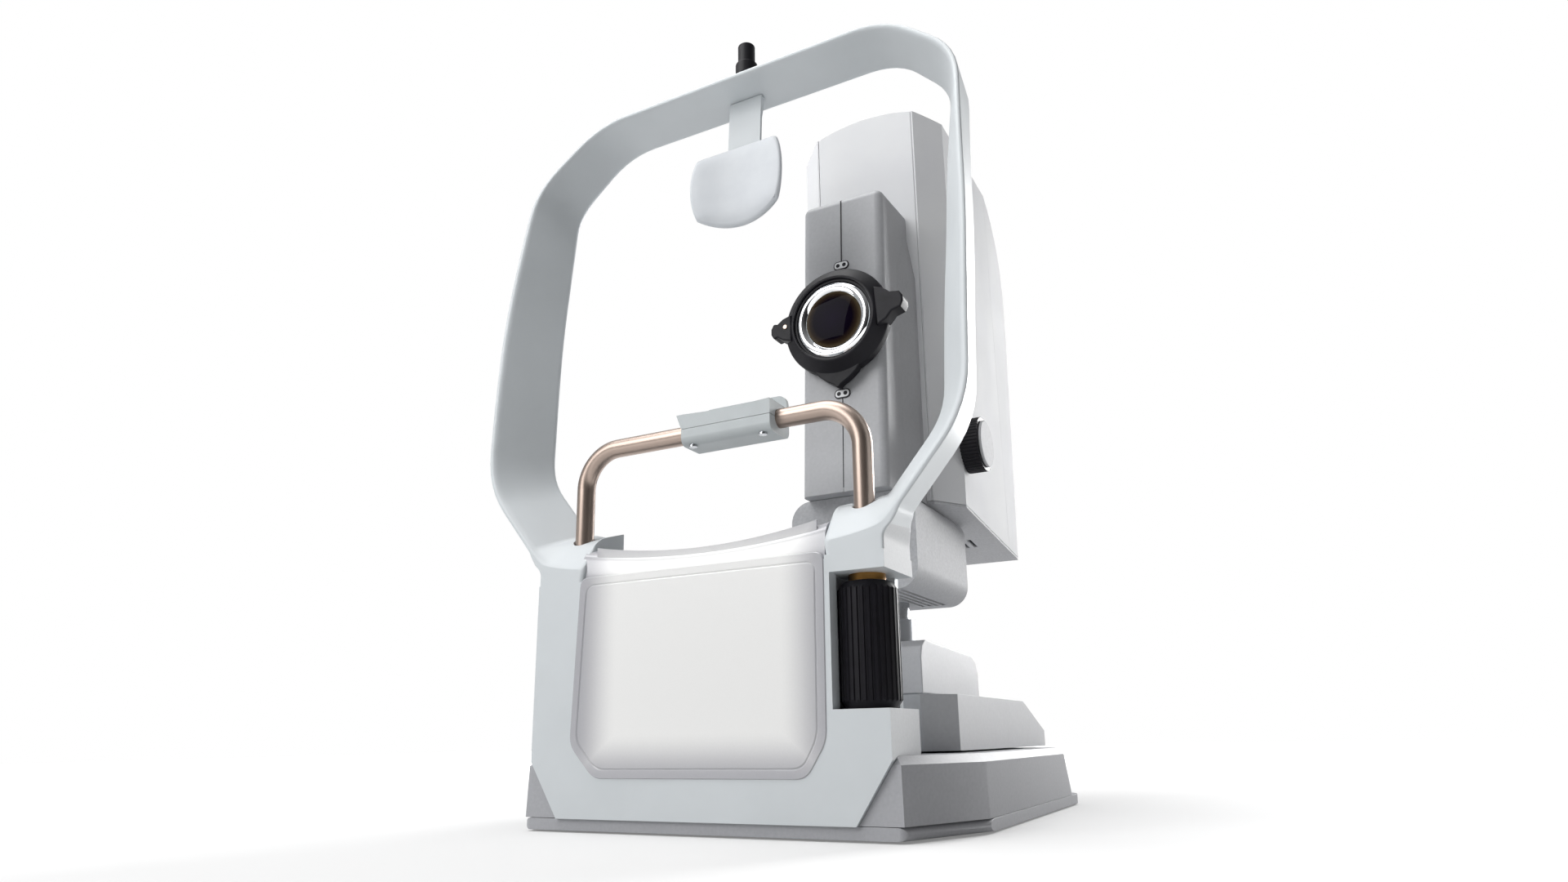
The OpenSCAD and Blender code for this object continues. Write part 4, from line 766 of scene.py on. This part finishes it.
# %% The panel's roll
EDGE_Z, EDGE_DIP, EDGE_HALF = 228, 10, 111
roll_bm = bmesh.new()
for vert in bmesh.ops.create_grid(roll_bm, x_segments=30, y_segments=14, size=1)["verts"]:
    x, f = (110.6 if vert.co.x > 0 else 116) * vert.co.x, (vert.co.y + 1) / 2
    top = EDGE_Z - EDGE_DIP * (1 - (x / EDGE_HALF) ** 2)
    bow = [Vector(p) for p in ((3.4, 194), (3.2, (CREASE_Z + top) / 2), (5, top - 3), (18, top))]
    y, z = (bow[0] * (1 - f) ** 3 + bow[1] * 3 * f * (1 - f) ** 2
            + bow[2] * 3 * f * f * (1 - f) + bow[3] * f ** 3)
    vert.co = spot(x, y, z)
bmesh.ops.recalc_face_normals(roll_bm, faces=roll_bm.faces)
if roll_bm.faces[:][0].normal.y > 0:
    bmesh.ops.reverse_faces(roll_bm, faces=roll_bm.faces)
bmesh.ops.solidify(roll_bm, geom=roll_bm.faces[:], thickness=0.0026)
roll = dress(settle("front_panel_roll", roll_bm, 50), opal_acrylic, "base")
print("roll:", len(roll.data.polygons), "faces")

# %% [markdown]
# ## Forehead pad
#
# The pad is a soft crowned cushion, hollow towards the forehead from side to side. Blown-up cloth could make
# a cushion, but this one is moulded and has a firm outline. So a grid is squeezed to a rounded outline,
# curved and crowned, and a second grid behind it closes the form.

# %% Forehead pad
PAD_HALF, PAD_Z, PAD_RISE, PAD_HOLLOW = 49.5, 581.5, 38.5, 105


def pad_point(u, v, front):
    """Place of a grid point, with u and v from -1 to 1, on the pad's front or back."""
    across = u * (1 - 0.42 * (1 - (1 - v * v / 2) ** 0.5))
    up = v * (1 - 0.55 * (1 - (1 - u * u / 2) ** 0.5))
    x = PAD_HALF * across
    droop = 5 if v < 0 else -1.5
    z = PAD_Z + PAD_RISE * up - droop * (1 - u * u) * abs(v)
    edge = max(abs(u), abs(v)) ** 6
    hollow = PAD_HOLLOW - (PAD_HOLLOW ** 2 - x ** 2) ** 0.5
    y = 72 - 2.2 * (1 - edge) + 2 * edge if front else 80.5 - 1.5 * edge
    return spot(x, y - hollow, z)


pad_bm = bmesh.new()
rims = []
for front in (True, False):
    made = bmesh.ops.create_grid(pad_bm, x_segments=28, y_segments=24, size=1)["verts"]
    for vert in made:
        vert.co = pad_point(vert.co.x, vert.co.y, front)
    own = set(made)
    rims.append([e for e in pad_bm.edges if e.is_boundary and e.verts[0] in own])
bmesh.ops.bridge_loops(pad_bm, edges=rims[0] + rims[1])
bmesh.ops.recalc_face_normals(pad_bm, faces=pad_bm.faces)
bevel(pad_bm, [e for e in pad_bm.edges if e.calc_face_angle(0) > radians(45)], 2.2)
pad = finished("forehead_pad", pad_bm, pad_grey, 60)
print("pad:", len(pad.data.polygons), "faces")

# %% [markdown]
# ## Lens and mirror
#
# A shallow mirror ring surrounds the front lens. Cylinders and spheres could be cut to shape, but these are
# turned pieces, so we do as a lathe does: a profile is spun about the lens axis.

# %% Lens and mirror
AXIS = spot(STAGE_X, 0, LENS_Z)


def spun(profile):
    """Turn a profile of (radius, depth) millimetres about the lens axis."""
    bm = bmesh.new()
    verts = [bm.verts.new(AXIS + Vector((r, y, 0)) / 1000) for r, y in profile]
    edges = [bm.edges.new(pair) for pair in zip(verts, verts[1:])]
    bmesh.ops.spin(bm, geom=verts + edges, cent=AXIS, axis=(0, 1, 0), angle=2 * pi, steps=96, use_merge=True)
    bmesh.ops.remove_doubles(bm, verts=bm.verts, dist=1e-6)
    bmesh.ops.recalc_face_normals(bm, faces=bm.faces)
    return bm


bow = [(39.8 - 11.6 * f, 143 - f - 3 * sin(pi * f)) for f in [i / 10 for i in range(11)]]
mirror = [(39.9, 156), (39.9, 143.4)] + bow + [(28.1, 142.4), (28.1, 156), (39.9, 156)]
reflector = finished("reflector", spun(mirror), mirror_chrome, 50)
dome = [(2.8 * i, 139.2 + 0.028 * i * i) for i in range(1, 11)]
glass = [(0.01, 139.2)] + dome + [(28, 152), (0.01, 152), (0.01, 139.2)]
front_lens = finished("front_lens", spun(glass), coated_lens, 60)
print("mirror:", len(reflector.data.polygons), "faces, lens:", len(front_lens.data.polygons))

# %% [markdown]
# ## Ring with its grips
#
# The black ring in front of the cover is a cone that the operator turns by two grips, and below it ends in a
# prow. All could be one mesh, but separate pieces that sink into each other keep every outline simple. Each
# grip is a plan, bridged to its copy behind, and a steel pin marks the left one.

# %% Ring with its grips
FACING = Matrix.Rotation(pi / 2, 4, "X")  # turns a rod's axis from upright to front
ring_bm = spun([(40.3, 144), (40.4, 139.4), (41, 138.7), (42.2, 138.5), (43.4, 139), (53, 147.5),
                (54, 149.2), (54, 156), (53.2, 157), (40.3, 157), (40.3, 144)])
cone = settle("objective_cone", ring_bm, 35)
dress(cone, black_moulded, "lens_ring", ["objective_ring"])
for name, turn, tip, wide, near, far, high in (
    ("grip_right", 4, 71, 20, 43.5, 7, 139.6),
    ("grip_left", 180, 66, 14, 43.5, 7, 139.6),
    ("prow", 270, 67, 24, 46, 2.5, 147),
):
    plan = [(near, -wide), (53, -wide * 0.8), (59, -wide * 0.5), (tip - 3, -far - 1), (tip, -far * 0.4),
            (tip, far * 0.4), (tip - 3, far + 1), (59, wide * 0.5), (53, wide * 0.8), (near, wide)]
    about = Matrix.Translation(AXIS) @ Matrix.Rotation(radians(-turn), 4, "Y")
    grip = bmesh.new()
    for end in loft(grip, [[about @ (Vector((r, y, w)) / 1000) for r, w in plan] for y in (high, 156)]):
        bmesh.ops.edgeloop_fill(grip, edges=end)
    bmesh.ops.recalc_face_normals(grip, faces=grip.faces)
    round_edges(grip, 1.6, 50)
    dress(settle("ring_" + name, grip, 35), black_moulded, "lens_ring")
pin = rod((STAGE_X - 50, 139.4, LENS_Z + 2), 2.4, 1.6, FACING, 24)
round_edges(pin, 0.5, 50)
dress(settle("ring_pin", pin), tube_steel, "lens_ring")
print("ring:", len(cone.data.polygons), "faces")

# %% [markdown]
# ## Front cover
#
# The grey front cover is a leaning hood in two halves, hollow inside, with a flank on each side and a collar
# behind the ring. Its front edges are wide and soft. A bevel of the solid's copy would be the short way, but
# its faces are too small for that radius, so the halves are drawn anew from stacked plans.

# %% Front cover
def stacked(side, *levels):
    """A solid beside the lens axis, from plans of four corners each that lie one above another."""
    return skinned([[spot(STAGE_X + side * x, y, z) for x, y, z in level] for level in levels])


def join(bm, other):
    """Add the other bmesh to bm."""
    mesh = bpy.data.meshes.new("joined")
    other.to_mesh(mesh)
    other.free()
    bm.from_mesh(mesh)
    bpy.data.meshes.remove(mesh)


def half_cover(side):
    """Half of the cover: a hood with rounded front edges, and a flank that runs out at its top."""
    hood = stacked(side, [(0.2, 153.5, 288), (43, 153.5, 288), (43, 240.6, 288), (0.2, 240.6, 288)],
                   [(0.2, 170.5, 600), (43, 170.5, 600), (43, 240.6, 605), (0.2, 240.6, 605)])
    hood.verts.ensure_lookup_table()
    edges = [hood.edges.get((hood.verts[a], hood.verts[b])) for a, b in ((1, 5), (4, 5), (5, 6))]
    bevel(hood, edges, 8, 6)
    hood = carve(hood, stacked(side, [(-3, 156, 291), (40, 156, 291), (40, 245, 291), (-3, 245, 291)],
                               [(-3, 174, 594), (40, 174, 594), (40, 245, 598), (-3, 245, 598)]))
    plan = [(42, 201.2), (50, 228.6), (50, 240.6), (42, 240.6)]
    flank = stacked(side, [(x, y, 288) for x, y in plan], [(x, y, 528) for x, y in plan],
                    [(42, 210, 572), (43.4, 232, 572), (43.4, 240.6, 572), (42, 240.6, 572)])
    join(hood, flank)
    return hood


for name, side in (("left", -1), ("right", 1)):
    piece = finished("front_cover_" + name, half_cover(side), cover_grey)
    print(piece.name, len(piece.data.polygons), "faces")
collar = rod((STAGE_X, 165, LENS_Z), 42, 15, FACING, 96)
round_edges(collar, 0.8, 50)
dress(settle("cover_collar", collar), cover_grey, "camera")

# %% [markdown]
# ## Alignment marks
#
# Two small printed plates on the cover's seam show the operator the middle of the lens. Each is a white
# plate on a dark rim with two dark dots, seen from the front as a lying figure eight. An image could carry
# the print, but thin solids stay crisp at any distance. The shade in the seam between the halves is painted:
# a narrow dark strip that leans with the cover.

# %% Alignment marks
lean = Matrix.Rotation(radians(-3.0), 4, "X")
layers = (("rim", 8.1, 4.6, 0.5, dark_print_and_seam_shade), ("plate", 7.0, 3.5, 0.9, mark_white))
for name, z, y in (("upper", 522, 165.8), ("lower", 385, 158.35)):
    for layer, wide, high, out, paint in layers:
        plate = bmesh.new()
        size = Matrix.Diagonal((2 * wide / 1000, 2 * out / 1000, 2 * high / 1000, 1))
        bmesh.ops.create_cube(plate, size=1, matrix=size)
        upright = [e for e in plate.edges if abs((e.verts[0].co - e.verts[1].co).y) > 1e-6]
        bevel(plate, upright, high * 0.9, 6)
        bmesh.ops.transform(plate, verts=plate.verts, matrix=Matrix.Translation(spot(STAGE_X, y, z)) @ lean)
        nodes = ["mark_plates"] if (name, layer) == ("upper", "rim") else []
        piece = settle("mark_%s_%s" % (name, layer), plate)
        dress(piece, paint, "camera", nodes)
    for side, offset in (("left", -3.3), ("right", 3.3)):
        dot = rod((STAGE_X + offset, y - 0.5, z), 2.0, 1.2, lean @ FACING, 24)
        dress(settle("mark_%s_dot_%s" % (name, side), dot), dark_print_and_seam_shade, "camera")
# The shade in the gap between the cover's halves is painted: a thin dark strip stands in the seam.
seam_shade = bmesh.new()
size = Matrix.Diagonal((0.0009, 0.0006, 0.304, 1))
bmesh.ops.create_cube(seam_shade, size=1, matrix=Matrix.Translation(spot(STAGE_X, 161.9, 444)) @ lean @ size)
dress(settle("cover_seam_painted_shade", seam_shade), dark_print_and_seam_shade, "camera")
print("marks and seam ready")

# %% [markdown]
# ## Pieces that stay as solids
#
# Rails, bushes, screws and inner pieces are right as they are. Rounded copies could be made of them too, but
# hardly any of their edges show, so they keep their solid and only get a finish.

# %% Pieces that stay as solids
plain = {
    "base_feet": foot_rubber, "mains_inlet": black_moulded, "power_switch": black_moulded,
    "headrest_rear_cover": headrest_paint, "panel_backing": opal_acrylic, "panel_clips": opal_acrylic,
    "leg_bush_left": turned_bronze, "leg_bush_right": turned_bronze, "leg_guide": milled_aluminium,
    "chin_tube": tube_steel, "clamp_screws": ground_steel, "lead_screw": ground_steel,
    "knob_nut": turned_bronze, "y_rails": ground_steel, "y_blocks": milled_aluminium,
    "deck_plate": milled_aluminium, "x_rails": ground_steel, "x_blocks": milled_aluminium,
    "stage_plate": milled_aluminium, "column_tube": milled_aluminium, "column_ram": ground_steel,
    "gimbal_ring": ground_steel, "optical_bench": milled_aluminium, "lens_barrel": black_moulded,
    "sensor_module": milled_aluminium, "focus_shaft": ground_steel, "display_glass": smoked_glass,
}
for node, material in plain.items():
    solid = frame["nodes"][node]
    solid.data.materials.clear()
    solid.data.materials.append(material)
print("solids with a finish:", len(plain))

# %% [markdown]
# ## Floor
#
# The photograph has a white sweep. More light on a white floor would make it white too, but it would also
# bleach the object. So the floor glows a little, more with distance and only where it is seen, which makes
# it white and keeps the shadow.

# %% Floor
bm = bmesh.new()
bmesh.ops.create_grid(bm, x_segments=8, y_segments=8, size=6)
sweep = settle("studio_floor", bm)
# Matt white paint: even, without reflections.
floor_paint = finish("matt_white_floor", "#C4C4C4", Roughness=0.9)
mottle(floor_paint, "#C3C3C3", "#C5C5C5", 300, 0.3)
tree, surface, place = inside(floor_paint)
ray = add(tree, "ShaderNodeLightPath")
seen = ray.outputs["Is Camera Ray"]
for kind in ("Is Glossy Ray", "Is Transmission Ray"):
    seen = add(tree, "ShaderNodeMath", [(seen, 0), (ray.outputs[kind], 1)], operation="MAXIMUM").outputs[0]
# The glow is weakest near the object, which paints a light grey shade around the base.
far = add(tree, "ShaderNodeVectorMath", [(place, 0)], operation="LENGTH")
fade = add(tree, "ShaderNodeMapRange", [(far.outputs["Value"], "Value")], interpolation_type="SMOOTHSTEP",
           From_Min=0.5, From_Max=2.4, To_Min=0.21, To_Max=1.3)
glow = add(tree, "ShaderNodeMath", [(seen, 0), (fade.outputs["Result"], 1)], operation="MULTIPLY")
surface.inputs["Emission Color"].default_value = (1, 1, 1, 1)
tree.links.new(glow.outputs[0], surface.inputs["Emission Strength"])
sweep.data.materials.append(floor_paint)
print("floor ready")

# %% [markdown]
# ## World
#
# The studio's walls light the object softly, most from the upper left behind it and least from the lower
# right in front. A picture of a studio could do this, but a smooth change along one direction is enough.
# Where the camera sees the world, it is plain white.

# %% World
world = bpy.data.worlds.new("white_studio")
bpy.context.scene.world = world
world.use_nodes = True
tree = world.node_tree
background = tree.nodes["Background"]
background.inputs["Color"].default_value = (1, 1, 1, 1)
ray = add(tree, "ShaderNodeLightPath")
way = add(tree, "ShaderNodeTexCoord").outputs["Generated"]
toward = add(tree, "ShaderNodeVectorMath", [(way, 0)], operation="DOT_PRODUCT")
toward.inputs[1].default_value = (-0.72, 0.42, 0.55)
soft = add(tree, "ShaderNodeMapRange", [(toward.outputs["Value"], "Value")], interpolation_type="SMOOTHSTEP",
           From_Min=-0.8, From_Max=0.9, To_Min=0.02, To_Max=0.52)
strength = soft.outputs["Result"]
for kind in ("Is Camera Ray", "Is Transmission Ray"):
    links = [(ray.outputs[kind], 0), (strength, 1)]
    strength = add(tree, "ShaderNodeMath", links, operation="MAXIMUM").outputs[0]
tree.links.new(strength, background.inputs["Strength"])
print("world ready")

# %% [markdown]
# ## Lights
#
# A large soft light stands behind on the right and gentler ones in front and above, so the right flanks are
# brightest and what the head shades is darkest. Point lamps would give hard shadows that the photograph
# doesn't have, so all three are wide rectangles.

# %% Lights
def softbox(name, place, aim, width, height, watts):
    """A rectangular lamp at a place, turned to what it aims at, in metres."""
    light = bpy.data.lights.new(name, "AREA")
    light.shape, light.size, light.size_y, light.energy = "RECTANGLE", width, height, watts
    lamp = bpy.data.objects.new(name, light)
    lamp.location = place
    lamp.rotation_euler = (Vector(aim) - Vector(place)).to_track_quat("-Z", "Y").to_euler()
    bpy.context.collection.objects.link(lamp)
    print(name, watts, "W")


softbox("key_behind", (0.95, 2.75, 1.2), (0, 0, 0.35), 1.0, 1.6, 94)
softbox("fill_front", (-1.1, -2.1, 1.6), (0, 0, 0.35), 1.6, 1.6, 39)
softbox("top", (-0.5, -0.5, 2.6), (0, 0, 0.3), 1.8, 1.8, 46)
bpy.context.scene.view_settings.view_transform = "Standard"
